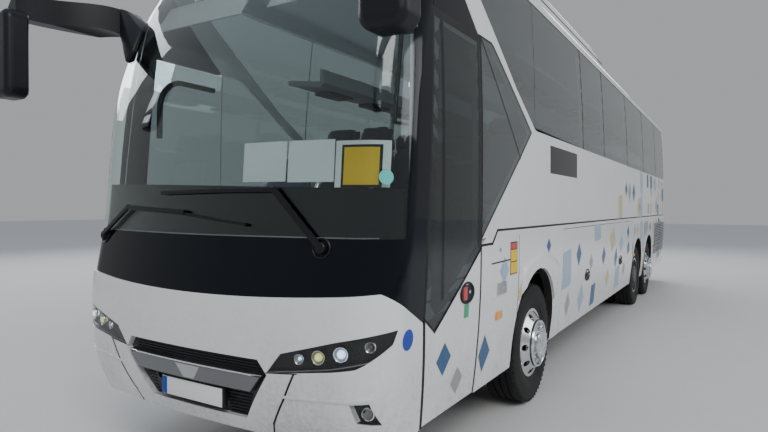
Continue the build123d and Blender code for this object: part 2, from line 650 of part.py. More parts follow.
bay_half = half_width(BAY_FLOOR_Z - BAY_FLOOR_THICKNESS) - WALL - SEAT_GAP - GAP
with BuildPart() as chassis_frame:
    add(block((-bay_half, bay_half), BAY_D, (BAY_FLOOR_Z - BAY_FLOOR_THICKNESS, BAY_FLOOR_Z)))
    under_deck = DECK_Z - DECK_THICKNESS - SEAT_GAP
    under_platform = PLATFORM_Z - DECK_THICKNESS - SEAT_GAP
    for d in (BAY_D[0], (FLAP_EDGES[0][1] + FLAP_EDGES[1][0] - PLATE) / 2, BAY_D[1] - PLATE):
        add(block((-bay_half, bay_half), (d, d + PLATE), (BAY_FLOOR_Z, under_deck)))
    for x in (-RAIL_HALF_SPACING, RAIL_HALF_SPACING):
        rail = (x - RAIL_HALF_WIDTH, x + RAIL_HALF_WIDTH)
        add(block(rail, BAY_D, (BAY_FLOOR_Z - 110, BAY_FLOOR_Z - BAY_FLOOR_THICKNESS)))
        for run in ((FRAME_ENDS_D[0], BAY_D[0]), (BAY_D[1], FRAME_ENDS_D[1])):
            add(block(rail, run, (FRAME_Z, FRAME_Z + 100)))
        for d, top in ((PLATFORM_POST_D, under_platform), *[(d, under_deck) for d in DECK_POSTS_D]):
            add(block((x - MEMBER / 2, x + MEMBER / 2), (d, d + MEMBER), (FRAME_Z + 100, top)))
    for d in CROSS_MEMBERS_D:
        add(block((-RAIL_HALF_SPACING, RAIL_HALF_SPACING), (d, d + MEMBER), (FRAME_Z, FRAME_Z + 80)))
    with BuildSketch(Plane.XZ.offset(-y_at(TOW_D[0]))):
        with Locations((TOW_X, TOW_Z)):
            Circle(TOW_BAR_RADIUS)
    extrude(amount=-(TOW_D[1] - TOW_D[0]))
    with BuildSketch(Plane.XZ.offset(-y_at(TOW_D[0]))):
        with Locations((TOW_X, TOW_Z)):
            Circle(TOW_BORE_RADIUS)
    extrude(amount=-TOW_BORE_LENGTH, mode=Mode.SUBTRACT)
save("chassis_frame", chassis_frame.part)


def liner(axle, inner_x, half_length, side):
    """A wheel arch liner: a rounded tunnel closed on its inner side."""
    top = LINER_TOP_Z
    with BuildPart() as part:
        for inset in (0, LINER_WALL):
            start = inner_x + inset
            with BuildSketch(Plane.YZ.offset(side * start)):
                with Locations((y_at(axle), (SKIRT_Z + top) / 2 - inset)):
                    RectangleRounded(2 * (half_length - inset), top - SKIRT_Z, 240 - inset)
                with Locations((y_at(axle), SKIRT_Z + 150 - inset)):
                    Rectangle(2 * (half_length - inset), 300)
            extrude(amount=side * 900, mode=Mode.ADD if inset == 0 else Mode.SUBTRACT)
        add(CABIN, mode=Mode.INTERSECT)
        with BuildSketch(Plane.YZ.offset(side * (inner_x - 20))):
            with Locations((y_at(axle), TYRE_RADIUS - (60 if axle == FRONT_AXLE_D else 0))):
                Circle(AXLE_HOLE_RADIUS)
        extrude(amount=side * 60, mode=Mode.SUBTRACT)
    return part.part


liners = []
for axle, inner_x, half_length in (
    (FRONT_AXLE_D, LINER_INNER_X, LINER_HALF_LENGTH),
    (DRIVE_AXLE_D, REAR_LINER_INNER_X, REAR_LINER_HALF_LENGTH),
    (TAG_AXLE_D, REAR_LINER_INNER_X, REAR_LINER_HALF_LENGTH),
):
    for side in (1, -1):
        liners += liner(axle, inner_x, half_length, side).solids()
save("wheel_arches", Compound(children=liners))

# Axles
axle_solids = []
for axle, stub_x in ((FRONT_AXLE_D, None), (DRIVE_AXLE_D, STUB_END_X), (TAG_AXLE_D, STUB_END_X)):
    y = y_at(axle)
    with BuildPart() as beam:
        if stub_x is None:
            with Locations((0, y, TYRE_RADIUS - 90)):
                Box(2 * 700, 90, 90)
            for side in (1, -1):
                with BuildSketch(Plane.XZ.offset(-(y - 45))):
                    with BuildLine():
                        Polyline(
                            (side * 640, TYRE_RADIUS - 135), (side * 690, TYRE_RADIUS - 135),
                            (side * 750, TYRE_RADIUS - 58), (side * KINGPIN_X, TYRE_RADIUS - 58),
                            (side * KINGPIN_X, TYRE_RADIUS + 58), (side * 750, TYRE_RADIUS + 58),
                            (side * 640, TYRE_RADIUS - 45), close=True,
                        )
                    make_face()
                extrude(amount=-90)
                with Locations((side * KINGPIN_X, y, TYRE_RADIUS)):
                    Cylinder(52, 116)
                with Locations((side * KINGPIN_X, y, TYRE_RADIUS)):
                    Cylinder(KINGPIN_RADIUS, 320)
        else:
            with BuildSketch(Plane.YZ.offset(-stub_x)):
                with Locations((y, TYRE_RADIUS)):
                    Circle(HUB_BORE_RADIUS - BEARING_GAP)
            extrude(amount=2 * stub_x)
            with BuildSketch(Plane.YZ.offset(-570)):
                with Locations((y, TYRE_RADIUS)):
                    Circle(75)
            extrude(amount=1140)
            if axle == DRIVE_AXLE_D:
                with BuildSketch(Plane.YZ.offset(-130)):
                    with Locations((y, TYRE_RADIUS)):
                        Circle(DIFFERENTIAL_RADIUS)
                extrude(amount=260)
        for x in (-RAIL_HALF_SPACING, RAIL_HALF_SPACING):
            for step in (-1, 1):
                with Locations((x, y + step * 150, (TYRE_RADIUS - 60 + FRAME_Z - SEAT_GAP) / 2)):
                    Cylinder(80, FRAME_Z - SEAT_GAP - TYRE_RADIUS + 60)
            with Locations((x, y, TYRE_RADIUS - 75)):
                Box(120, 420, 30)
    axle_solids += beam.part.solids()
save("axle_beams", Compound(children=axle_solids))

# Steering knuckles: a fork on the kingpin, and the stub that carries the wheel
for side, word in ((1, "left"), (-1, "right")):
    y = y_at(FRONT_AXLE_D)
    with BuildPart() as knuckle:
        for z in (TYRE_RADIUS + 61 + 45, TYRE_RADIUS - 61 - 45):
            with Locations((side * KINGPIN_X, y, z)):
                Cylinder(58, 90)
        with Locations((side * (KINGPIN_X + 72), y, TYRE_RADIUS)):
            Box(24, 110, 302)
        for z in (TYRE_RADIUS + 106, TYRE_RADIUS - 106):
            with Locations((side * (KINGPIN_X + 40), y, z)):
                Box(60, 110, 90)
        with Locations((side * KINGPIN_X, y, TYRE_RADIUS)):
            Cylinder(KINGPIN_RADIUS + BEARING_GAP, 400, mode=Mode.SUBTRACT)
        with BuildSketch(Plane.YZ.offset(side * (KINGPIN_X + 70))):
            with Locations((y, TYRE_RADIUS)):
                Circle(HUB_BORE_RADIUS - BEARING_GAP)
        extrude(amount=side * (STUB_END_X - KINGPIN_X - 70))
    save(f"knuckle_{word}", knuckle.part)


def tyre_at(x, axle):
    """A tyre centred at x: two sidewalls and a tread with rounded shoulders, seated on its rim."""
    half = TYRE_WIDTH / 2
    with BuildPart() as tyre:
        with BuildSketch(Plane.XZ.offset(-y_at(axle))):
            with BuildLine():
                Polyline(
                    (x - RIM_WIDTH / 2, TYRE_RADIUS + RIM_RADIUS),
                    (x - RIM_WIDTH / 2, TYRE_RADIUS + RIM_RADIUS + RIM_FLANGE + 2),
                    (x - half, TYRE_RADIUS + 400),
                    (x - half + 8, 2 * TYRE_RADIUS - TYRE_SHOULDER),
                    (x - half + 8 + TYRE_SHOULDER, 2 * TYRE_RADIUS),
                    (x + half - 8 - TYRE_SHOULDER, 2 * TYRE_RADIUS),
                    (x + half - 8, 2 * TYRE_RADIUS - TYRE_SHOULDER),
                    (x + half, TYRE_RADIUS + 400),
                    (x + RIM_WIDTH / 2, TYRE_RADIUS + RIM_RADIUS + RIM_FLANGE + 2),
                    (x + RIM_WIDTH / 2, TYRE_RADIUS + RIM_RADIUS),
                    close=True,
                )
            make_face()
        revolve(axis=Axis((0, y_at(axle), TYRE_RADIUS), (1, 0, 0)))
    return tyre.part


def rim_profile(x, face):
    """Half-section of one rim centred at x. face is 1 where its disc stands out to +X, and -1 to -X."""
    seat = RIM_RADIUS
    well = RIM_RADIUS - RIM_WALL
    flange = RIM_RADIUS + RIM_FLANGE
    half = RIM_WIDTH / 2
    disc = DISC_OFFSET
    points = [
        (-half - RIM_WALL, flange), (-half, flange), (-half, seat), (half, seat), (half, flange),
        (half + RIM_WALL, flange), (half + RIM_WALL, well), (disc, DISC_FACE_RADIUS), (disc, HUB_RADIUS - 8),
        (disc - DISC_THICKNESS, HUB_RADIUS - 8), (disc - DISC_THICKNESS, DISC_FACE_RADIUS - 6),
        (half - 14, well - 6), (half - 40, well), (-half - RIM_WALL, well),
    ]
    return [(x + face * u, TYRE_RADIUS + v) for u, v in points]


def rim_at(axle, side, twin):
    """Rim, hub and cap of one wheel, or of a twin pair on one hub."""
    y = y_at(axle)
    axis = Axis((0, y, TYRE_RADIUS), (1, 0, 0))
    outer_x = side * WHEEL_X
    with BuildPart() as rim:
        rims = [(outer_x, -side), (outer_x - side * TWIN_SPACING, side)] if twin else [(outer_x, side)]
        for x, face in rims:
            with BuildSketch(Plane.XZ.offset(-y)):
                with BuildLine():
                    Polyline(*rim_profile(x, face), close=True)
                make_face()
            revolve(axis=axis)
            hole_x = x + face * (RIM_WIDTH / 2 + 20)
            with BuildSketch(Plane.YZ.offset(hole_x - face * 60)):
                with Locations((y, TYRE_RADIUS)):
                    with PolarLocations(HAND_HOLE_PITCH_RADIUS, HAND_HOLES):
                        Circle(HAND_HOLE_RADIUS)
            extrude(amount=face * 160, mode=Mode.SUBTRACT)
        cap_x = WHEEL_X + 130 if twin else WHEEL_X + DISC_OFFSET + 50
        with BuildSketch(Plane.YZ.offset(side * HUB_INNER_X)):
            with Locations((y, TYRE_RADIUS)):
                Circle(HUB_RADIUS)
        extrude(amount=side * (cap_x - HUB_INNER_X))
        with BuildSketch(Plane.YZ.offset(side * (HUB_INNER_X - 1))):
            with Locations((y, TYRE_RADIUS)):
                Circle(HUB_BORE_RADIUS)
        extrude(amount=side * (STUB_END_X + SEAT_GAP - HUB_INNER_X + 1), mode=Mode.SUBTRACT)
    return rim.part


AXLES = (("front", FRONT_AXLE_D, False), ("drive", DRIVE_AXLE_D, True), ("tag", TAG_AXLE_D, False))
for place, axle, twin in AXLES:
    for side, word in ((1, "left"), (-1, "right")):
        tyres = tyre_at(side * WHEEL_X, axle).solids()
        if twin:
            tyres += tyre_at(side * (WHEEL_X - TWIN_SPACING), axle).solids()
        save(f"tyre_{place}_{word}", Compound(children=tyres))
        save(f"rim_{place}_{word}", rim_at(axle, side, twin))

# Engine, as one plain block on its mounts
with BuildPart() as engine_block:
    add(block((-ENGINE_HALF, ENGINE_HALF), ENGINE_D, ENGINE_Z))
    arm_end = RAIL_HALF_SPACING - RAIL_HALF_WIDTH - SEAT_GAP
    for d in ENGINE_MOUNTS_D:
        add(block((-arm_end, arm_end), (d, d + 2 * MEMBER), (FRAME_Z + 10, FRAME_Z + 90)))
save("engine_block", engine_block.part)


def seat(x, d, floor_z):
    """One seat over the span x, its front edge at d."""
    with BuildPart() as part:
        with BuildSketch(Plane.YZ.offset(x[0])):
            with BuildLine():
                Polyline(*[(y_at(d + u), floor_z + SEAT_GAP + v) for u, v in SEAT_PROFILE], close=True)
            make_face()
        extrude(amount=x[1] - x[0])
    return part.part


# Seats: rows of doubles each side of the aisle, and the driver's seat
seats = []
for row in range(SEAT_ROWS):
    for low, high in ((SEAT_X[0], SEAT_X[1]), (-SEAT_X[1], -SEAT_X[0])):
        seats += seat((low, high), SEAT_START_D + row * SEAT_PITCH, DECK_Z).solids()
seats += seat(DRIVER_SEAT_X, DRIVER_SEAT_D, PLATFORM_Z).solids()
save("seats", Compound(children=seats))

# Overhead luggage racks along both sides
racks = []
for side in (1, -1):
    with BuildPart() as rack:
        with BuildSketch(Plane.XZ.offset(-y_at(SEAT_START_D))):
            with BuildLine():
                Polyline(*[(side * x, z) for x, z in RACK_SECTION], close=True)
            make_face()
        extrude(amount=-(RACK_END_D - SEAT_START_D))
        add(CABIN, mode=Mode.INTERSECT)
    racks += rack.part.solids()
save("luggage_racks", Compound(children=racks))

# Dashboard with the steering column
WHEEL_TILT = radians(25)
wheel_lean = Vector(0, sin(WHEEL_TILT), cos(WHEEL_TILT))
wheel_centre = Vector(STEERING_X, y_at(STEERING_D), STEERING_Z)
with BuildPart() as dashboard:
    add(cross_prism(DASH_SECTION))
    add(block((-1150, 330), (100, 600), (PLATFORM_Z, 1600)), mode=Mode.INTERSECT)
    add(nose_solid(SCREEN_LEVELS, WALL + SEAT_GAP), mode=Mode.INTERSECT)
    with BuildSketch(Plane(origin=wheel_centre - wheel_lean * (38 + SEAT_GAP), z_dir=wheel_lean)):
        Circle(40)
    extrude(amount=-COLUMN_LENGTH)
save("dashboard", dashboard.part)

with BuildPart() as steering_wheel:
    rim_plane = Plane(origin=wheel_centre, x_dir=(1, 0, 0), z_dir=wheel_lean)
    with BuildSketch(Plane(origin=wheel_centre, x_dir=(1, 0, 0), z_dir=rim_plane.y_dir * -1)):
        with Locations((STEERING_RADIUS, 0)):
            Circle(16)
    revolve(axis=Axis(wheel_centre, wheel_lean))
    with BuildSketch(rim_plane.offset(-38)):
        Circle(60)
    extrude(amount=40)
    with BuildSketch(rim_plane.offset(-10)):
        with PolarLocations(STEERING_RADIUS / 2, 4, start_angle=45):
            Rectangle(STEERING_RADIUS - 10, 34)
    extrude(amount=14)
save("steering_wheel", steering_wheel.part)


def bowed_prism(plane, points, amount):
    """A prism from an outline of two arcs, each through three points, closed by straight ends."""
    with BuildPart() as prism:
        with BuildSketch(plane):
            with BuildLine():
                ThreePointArc(*points[:3])
                Line(points[2], points[3])
                ThreePointArc(*points[3:])
                Line(points[5], points[0])
            make_face()
        extrude(amount=amount)
    return prism.part


def mirror_arm(side):
    """A blade that runs from the front pillar outwards and ahead of the nose, and bends down to the head."""
    front = [(side * x, z) for x, z in ARM_FRONT]
    plan = [(side * x, y_at(d)) for x, d in ARM_PLAN]
    with BuildPart() as arm:
        add(bowed_prism(Plane.XZ.offset(-y_at(FRONT_D)), front, -1100))
        add(bowed_prism(Plane.XY.offset(MIRROR_Z[0]), plan, 900), mode=Mode.INTERSECT)
    return arm.part


def mirror_head(x):
    """The rounded housing of one mirror over the span x."""
    with BuildPart() as head:
        add(block(x, (-MIRROR_LEAD, MIRROR_DEPTH - MIRROR_LEAD), MIRROR_Z))
        fillet(edges().filter_by(Axis.Y), 70)
        fillet(edges().group_by(Axis.Y)[0], 45)
        fillet(edges().group_by(Axis.Y)[-1], 20)
    return head.part


# Mirrors on arms from the front pillars
mirror_parts = []
for side in (1, -1):
    with BuildPart() as mirror:
        add(mirror_arm(side))
        low, high = sorted((side * MIRROR_X[0], side * MIRROR_X[1]))
        add(mirror_head((low, high)))
        add(nose_solid(SCREEN_LEVELS, -SEAT_GAP), mode=Mode.SUBTRACT)
    mirror_parts += mirror.part.solids()
save("mirrors", Compound(children=mirror_parts))

# Wipers, parked across the foot of the windscreen
WIPER_STRIPS = (
    ((872, 1492), (922, 1510), (606, 1828), (566, 1790)),
    ((-320, 1790), (590, 1792), (590, 1826), (-320, 1806)),
    ((-1042, 1522), (-1008, 1500), (-672, 1690), (-720, 1724)),
    ((-720, 1690), (-720, 1720), (-100, 1690), (-100, 1668)),
    ((-450, 1690), (-450, 1714), (400, 1624), (400, 1606)),
)
WIPER_PIVOTS = ((897, 1500), (-1025, 1512))
with BuildPart() as wiper_bosses:
    with BuildSketch(Plane.XZ.offset(-y_at(FRONT_D))):
        with Locations(*WIPER_PIVOTS):
            Circle(32)
    extrude(amount=-600)
    add(nose_solid(SCREEN_LEVELS, -34), mode=Mode.INTERSECT)
    add(nose_solid(SCREEN_LEVELS, -SEAT_GAP), mode=Mode.SUBTRACT)
with BuildPart() as wipers:
    for strip in WIPER_STRIPS:
        add(long_prism(strip, d_to=500))
    add(nose_solid(SCREEN_LEVELS, -30), mode=Mode.INTERSECT)
    add(nose_solid(SCREEN_LEVELS, -8), mode=Mode.SUBTRACT)
    add(wiper_bosses.part)
save("wipers", wipers.part)
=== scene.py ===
import math
import random

import bmesh
import bpy
from mathutils import Matrix, Vector
from mathutils.bvhtree import BVHTree


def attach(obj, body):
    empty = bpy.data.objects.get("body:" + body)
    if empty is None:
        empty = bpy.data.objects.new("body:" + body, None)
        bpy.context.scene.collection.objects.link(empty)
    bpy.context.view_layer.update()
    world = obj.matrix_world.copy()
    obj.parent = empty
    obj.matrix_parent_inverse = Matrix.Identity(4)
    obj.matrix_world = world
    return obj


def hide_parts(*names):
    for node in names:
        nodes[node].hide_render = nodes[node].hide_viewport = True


# A three-axle touring coach. Lengths are in metres. d is a distance behind the nose, z is a height above the ground,
# and side is 1 on the coach's left and -1 on its right.

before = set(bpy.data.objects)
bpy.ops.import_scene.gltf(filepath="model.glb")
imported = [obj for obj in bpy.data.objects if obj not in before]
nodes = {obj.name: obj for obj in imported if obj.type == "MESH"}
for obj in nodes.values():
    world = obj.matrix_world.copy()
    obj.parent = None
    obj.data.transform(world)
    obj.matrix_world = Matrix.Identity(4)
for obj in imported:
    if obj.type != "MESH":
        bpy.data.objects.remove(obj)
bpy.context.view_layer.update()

NOSE_Y = -6.4015
AXLES = {"front": 2.775, "drive": 8.835, "tag": 10.305}
WHEEL_HEIGHT, WHEEL_X, TWIN_X = 0.522, 1.09, 0.755
HALF_WIDTH = 1.275
TUCK_Z, TUCK_RADIUS = 1.35, 7.08
TUMBLE_Z, TUMBLE_RADIUS = 2.0, 16.54
ARCH_Z, ARCH_REACH = 0.60, 0.60
SIDES = ((1, "left"), (-1, "right"))
NEAR_ZERO = 0.0005


def y_at(d):
    return NOSE_Y + d


def half_width(z):
    """Half of the body's width: tucked skirt, upright waist, leaning window band."""
    if TUCK_Z <= z < TUMBLE_Z:
        return HALF_WIDTH
    off, radius = (TUCK_Z - z, TUCK_RADIUS) if z < TUCK_Z else (z - TUMBLE_Z, TUMBLE_RADIUS)
    return HALF_WIDTH - (radius - math.sqrt(radius**2 - off**2))


def add_object(name, data):
    made = bpy.data.objects.new(name, data)
    bpy.context.scene.collection.objects.link(made)
    return made


# Camera, fitted to the photograph, and lights

def aim_camera():
    yaw, pitch, roll = math.radians(31.375), math.radians(-0.981), math.radians(0.308)
    level = Vector((-math.sin(yaw), math.cos(yaw), 0))
    right = Vector((math.cos(yaw), math.sin(yaw), 0))
    upward = Vector((0, 0, 1))
    ahead = level * math.cos(pitch) + upward * math.sin(pitch)
    up = upward * math.cos(pitch) - level * math.sin(pitch)
    across = right * math.cos(roll) + up * math.sin(roll)
    up = up * math.cos(roll) - right * math.sin(roll)
    data = bpy.data.cameras.new("camera")
    data.sensor_width = 36
    data.lens = 578.95 / 768 * 36
    data.clip_end = 200
    camera = add_object("camera", data)
    turn = Matrix((across, up, -ahead)).transposed().to_4x4()
    camera.matrix_world = Matrix.Translation((2.7669, -8.6966, 1.7249)) @ turn
    bpy.context.scene.camera = camera


def soft_light(name, place, target, width, height, power, colour=(1, 1, 1)):
    data = bpy.data.lights.new(name, "AREA")
    data.shape = "RECTANGLE"
    data.size, data.size_y = width, height
    data.energy = power
    data.color = colour
    light = add_object(name, data)
    light.location = place
    light.rotation_euler = (Vector(target) - Vector(place)).to_track_quat("-Z", "Y").to_euler()


# Building blocks of the materials

def new_group(name, inputs, outputs):
    group = bpy.data.node_groups.new(name, "ShaderNodeTree")
    for label, value in inputs:
        socket = group.interface.new_socket(name=label, in_out="INPUT", socket_type="NodeSocketFloat")
        socket.default_value = value
    for label in outputs:
        group.interface.new_socket(name=label, in_out="OUTPUT", socket_type="NodeSocketFloat")
    return group, group.nodes.new("NodeGroupInput").outputs, group.nodes.new("NodeGroupOutput").inputs


def put(tree, kind, links=(), **settings):
    """Adds a node, sets its fields and its inputs, and links the given sockets to it."""
    node = tree.nodes.new(kind)
    for key, value in settings.items():
        if key in node.bl_rna.properties:
            setattr(node, key, value)
        else:
            node.inputs[key.replace("_", " ")].default_value = value
    for socket, target in links:
        tree.links.new(socket, node.inputs[target])
    return node


def maths(tree, operation, first, second):
    return put(tree, "ShaderNodeMath", [(first, 0), (second, 1)], operation=operation).outputs[0]


def noise(tree, place, **settings):
    return put(tree, "ShaderNodeTexNoise", [(place, "Vector")], **settings).outputs[0]


def object_place(tree):
    return put(tree, "ShaderNodeTexCoord").outputs["Object"]


def build_grime_group():
    """Road film: heavier towards the ground, broken up by two sizes of noise."""
    group, given, result = new_group("road_film", [("Amount", 0.5), ("Top", 1.2)], ["Mask"])
    place = object_place(group)
    height = put(group, "ShaderNodeSeparateXYZ", [(place, 0)]).outputs["Z"]
    fade = put(group, "ShaderNodeMapRange", [(height, "Value"), (given["Top"], "From Min")], From_Max=0.35)
    coarse = noise(group, place, Scale=2.2, Detail=6.0, Roughness=0.65)
    fine = noise(group, place, Scale=38.0, Detail=3.0)
    both = maths(group, "MULTIPLY", coarse, fine)
    patch = put(group, "ShaderNodeMapRange", [(both, "Value")], From_Min=0.14, From_Max=0.42)
    mask = maths(group, "MULTIPLY", fade.outputs[0], patch.outputs[0])
    group.links.new(maths(group, "MULTIPLY", mask, given["Amount"]), result["Mask"])
    return group


def build_grain_group():
    """Fine grain of moulded plastic, paint, rubber or cast metal, as a height and a soft mask."""
    group, given, result = new_group("fine_grain", [("Scale", 200.0), ("Contrast", 1.0)], ["Height", "Mask"])
    place = object_place(group)
    links = [(place, "Vector"), (given["Scale"], "Scale")]
    speckle = put(group, "ShaderNodeTexNoise", links, Detail=2.0)
    cells = put(group, "ShaderNodeTexVoronoi", links)
    both = maths(group, "ADD", speckle.outputs[0], cells.outputs["Distance"])
    group.links.new(maths(group, "MULTIPLY", both, given["Contrast"]), result["Height"])
    group.links.new(noise(group, place, Scale=3.0, Detail=5.0), result["Mask"])
    return group


def build_weave_group():
    """Woven cloth: two crossed sets of threads and a speckle of yarn colour."""
    group, given, result = new_group("woven_cloth", [("Scale", 220.0)], ["Height", "Mask"])
    place = object_place(group)
    links = [(place, "Vector"), (given["Scale"], "Scale")]
    threads = [
        put(group, "ShaderNodeTexWave", links, bands_direction=direction, Distortion=0.6).outputs["Fac"]
        for direction in ("X", "Z")
    ]
    group.links.new(maths(group, "MULTIPLY", *threads), result["Height"])
    group.links.new(noise(group, place, Scale=90.0, Detail=3.0), result["Mask"])
    return group


ROAD_FILM = build_grime_group()
FINE_GRAIN = build_grain_group()
WOVEN_CLOTH = build_weave_group()
FILM_TOP = 1.3
FILM_COLOUR = (0.30, 0.27, 0.235)


def start_material(name, roughness, metallic=0.0, coat=0.0, transmission=0.0, ior=1.5, sheen=0.0, gleam=0.5):
    material = bpy.data.materials.new(name)
    material.use_nodes = True
    tree = material.node_tree
    shader = tree.nodes["Principled BSDF"]
    for label, value in (
        ("Roughness", roughness), ("Metallic", metallic), ("Coat Weight", coat), ("Coat Roughness", 0.04),
        ("Transmission Weight", transmission), ("IOR", ior), ("Sheen Weight", sheen), ("Specular IOR Level", gleam),
    ):
        shader.inputs[label].default_value = value
    return material, tree, shader.inputs


def mix_colours(tree, mask, first, second):
    """Mixes a colour, or a socket that gives one, with a second colour."""
    mix = put(tree, "ShaderNodeMix", [(mask, 0)], data_type="RGBA")
    if isinstance(first, tuple):
        mix.inputs[6].default_value = (*first, 1)
    else:
        tree.links.new(first, mix.inputs[6])
    mix.inputs[7].default_value = (*second, 1)
    return mix.outputs[2]


def fine_grain(tree, scale):
    return put(tree, "ShaderNodeGroup", node_tree=FINE_GRAIN, Scale=scale, Contrast=1.0).outputs


def add_relief(tree, shader, height, strength, distance):
    relief = put(tree, "ShaderNodeBump", [(height, "Height")], Strength=strength, Distance=distance)
    tree.links.new(relief.outputs[0], shader["Normal"])


def grained(name, colour, other, roughness, scale=180.0, bump=0.1, film=0.0, **more):
    """A moulded, cast, painted or rubber finish: two close tones, fine grain and road film low down."""
    material, tree, shader = start_material(name, roughness, **more)
    grain = fine_grain(tree, scale)
    tone = mix_colours(tree, grain["Mask"], colour, other)
    if film:
        dirt = put(tree, "ShaderNodeGroup", node_tree=ROAD_FILM, Amount=film, Top=FILM_TOP).outputs["Mask"]
        tone = mix_colours(tree, dirt, tone, FILM_COLOUR)
        dull = min(1.0, roughness + 0.45)
        rough = put(tree, "ShaderNodeMapRange", [(dirt, "Value")], To_Min=roughness, To_Max=dull)
        tree.links.new(rough.outputs[0], shader["Roughness"])
    tree.links.new(tone, shader["Base Color"])
    if bump:
        add_relief(tree, shader, grain["Height"], bump, 0.001)
    return material


def glassy(name, colour, transmission, ior):
    """Sheet glass with a faint haze of dust."""
    material, tree, shader = start_material(name, 0.0, transmission=transmission, ior=ior)
    shader["Base Color"].default_value = (*colour, 1)
    dust = fine_grain(tree, 60.0)["Mask"]
    haze = put(tree, "ShaderNodeMapRange", [(dust, "Value")], From_Min=0.45, From_Max=0.9, To_Min=0.0, To_Max=0.05)
    tree.links.new(haze.outputs[0], shader["Roughness"])
    return material


def cloth(name, colour, other):
    material, tree, shader = start_material(name, 0.85, sheen=0.35)
    weave = put(tree, "ShaderNodeGroup", node_tree=WOVEN_CLOTH, Scale=160.0).outputs
    tree.links.new(mix_colours(tree, weave["Mask"], colour, other), shader["Base Color"])
    add_relief(tree, shader, weave["Height"], 0.4, 0.002)
    return material


def lamp_finish(name, colour, strength):
    material, tree, shader = start_material(name, 0.1)
    tone = mix_colours(tree, fine_grain(tree, 400.0)["Mask"], colour, tuple(c * 0.8 for c in colour))
    tree.links.new(tone, shader["Base Color"])
    tree.links.new(tone, shader["Emission Color"])
    shader["Emission Strength"].default_value = strength
    return material


# Finishes: name, two close tones, roughness, scale of the grain, bump, road film
PAINT = grained("coach_paint", (0.78, 0.79, 0.80), (0.84, 0.845, 0.85), 0.24, 900, 0.02, 0.55, coat=0.7)
BLACK_GLOSS = grained("black_gloss_panel", (0.0015, 0.003, 0.006), (0.003, 0.005, 0.009), 0.06, 700, 0.004, gleam=0.22)
BLACK_MOULDING = grained(
    "black_moulding", (0.006, 0.007, 0.010), (0.012, 0.013, 0.017), 0.38, 260, 0.2, 0.04, gleam=0.28
)
LINER_PLASTIC = grained(
    "arch_liner_plastic", (0.012, 0.012, 0.012), (0.03, 0.028, 0.026), 0.8, 120, 0.5, 0.15, gleam=0.3
)
GRILLE_GREY = grained("grille_back_panel", (0.012, 0.012, 0.013), (0.025, 0.025, 0.027), 0.45, 300, 0.2, 0.15)
SATIN_BAR = grained("satin_grey_bar", (0.19, 0.19, 0.20), (0.25, 0.25, 0.26), 0.32, 500, 0.05, metallic=0.75)
BRIGHT_METAL = grained("bright_trim", (0.72, 0.73, 0.75), (0.82, 0.83, 0.84), 0.14, 400, 0.03, metallic=1.0)
WHEEL_METAL = grained("polished_wheel", (0.70, 0.71, 0.73), (0.80, 0.81, 0.82), 0.17, 300, 0.04, 0.25, metallic=1.0)
HUB_CAST = grained("hub_castings", (0.10, 0.10, 0.105), (0.18, 0.17, 0.16), 0.55, 150, 0.3, 0.6, metallic=0.4)
RUBBER = grained("tyre_rubber", (0.006, 0.006, 0.007), (0.012, 0.012, 0.012), 0.66, 140, 0.25, 0.10, gleam=0.25)
SEAL = grained("seal_rubber", (0.006, 0.006, 0.007), (0.011, 0.011, 0.012), 0.55, 300, 0.1, gleam=0.3)
FRAME_PAINT = grained("chassis_paint", (0.02, 0.02, 0.022), (0.05, 0.045, 0.04), 0.6, 90, 0.3, 0.8)
IRON = grained("engine_iron", (0.12, 0.12, 0.12), (0.22, 0.2, 0.18), 0.65, 80, 0.5, 0.3, metallic=0.5)
ALUMINIUM = grained("satin_aluminium", (0.5, 0.51, 0.52), (0.62, 0.62, 0.63), 0.35, 260, 0.08, metallic=1.0)
FLOORING = grained("floor_covering", (0.10, 0.10, 0.12), (0.17, 0.17, 0.19), 0.7, 420, 0.3)
DASH_PLASTIC = grained("dashboard_plastic", (0.05, 0.052, 0.056), (0.09, 0.092, 0.1), 0.6, 420, 0.3)
PALE_TRIM = grained("pale_cabin_trim", (0.45, 0.46, 0.47), (0.55, 0.56, 0.57), 0.65, 300, 0.2)
LEATHER = grained("wheel_leather", (0.015, 0.015, 0.015), (0.03, 0.03, 0.03), 0.5, 600, 0.4)
DARK_FILM, PALE_FILM = dict(film=0.12, coat=0.1, gleam=0.25), dict(film=0.2, coat=0.2, gleam=0.3)
STEEL_BLUE = grained("steel_blue_film", (0.012, 0.085, 0.20), (0.018, 0.10, 0.23), 0.3, 900, 0.02, **DARK_FILM)
PALE_BLUE = grained("pale_blue_film", (0.31, 0.43, 0.58), (0.35, 0.47, 0.62), 0.3, 900, 0.02, **PALE_FILM)
WARM_GREY = grained("grey_film", (0.28, 0.285, 0.31), (0.33, 0.335, 0.36), 0.3, 900, 0.02, **PALE_FILM)
BEIGE = grained("beige_film", (0.54, 0.47, 0.24), (0.60, 0.53, 0.29), 0.3, 900, 0.02, **PALE_FILM)
TEAL = grained("teal_film", (0.012, 0.12, 0.17), (0.02, 0.14, 0.20), 0.3, 900, 0.02, **DARK_FILM)
WHITE_CARD = grained("white_card", (0.88, 0.90, 0.92), (0.92, 0.94, 0.95), 0.6, 300, 0.05)
YELLOW_CARD = grained("yellow_card", (0.86, 0.54, 0.015), (0.92, 0.60, 0.02), 0.5, 300, 0.05, gleam=0.3)
TURQUOISE = grained("turquoise_disc", (0.10, 0.58, 0.52), (0.14, 0.64, 0.58), 0.4, 300, 0.05)
BADGE_BLUE = grained("blue_badge", (0.004, 0.045, 0.36), (0.008, 0.055, 0.40), 0.3, 600, 0.02, coat=0.1, gleam=0.25)
SIGN_RED = grained("red_film", (0.50, 0.02, 0.025), (0.58, 0.03, 0.03), 0.35, 600, 0.02, coat=0.4)
SIGN_GREEN = grained("green_film", (0.02, 0.33, 0.14), (0.03, 0.38, 0.17), 0.35, 600, 0.02)
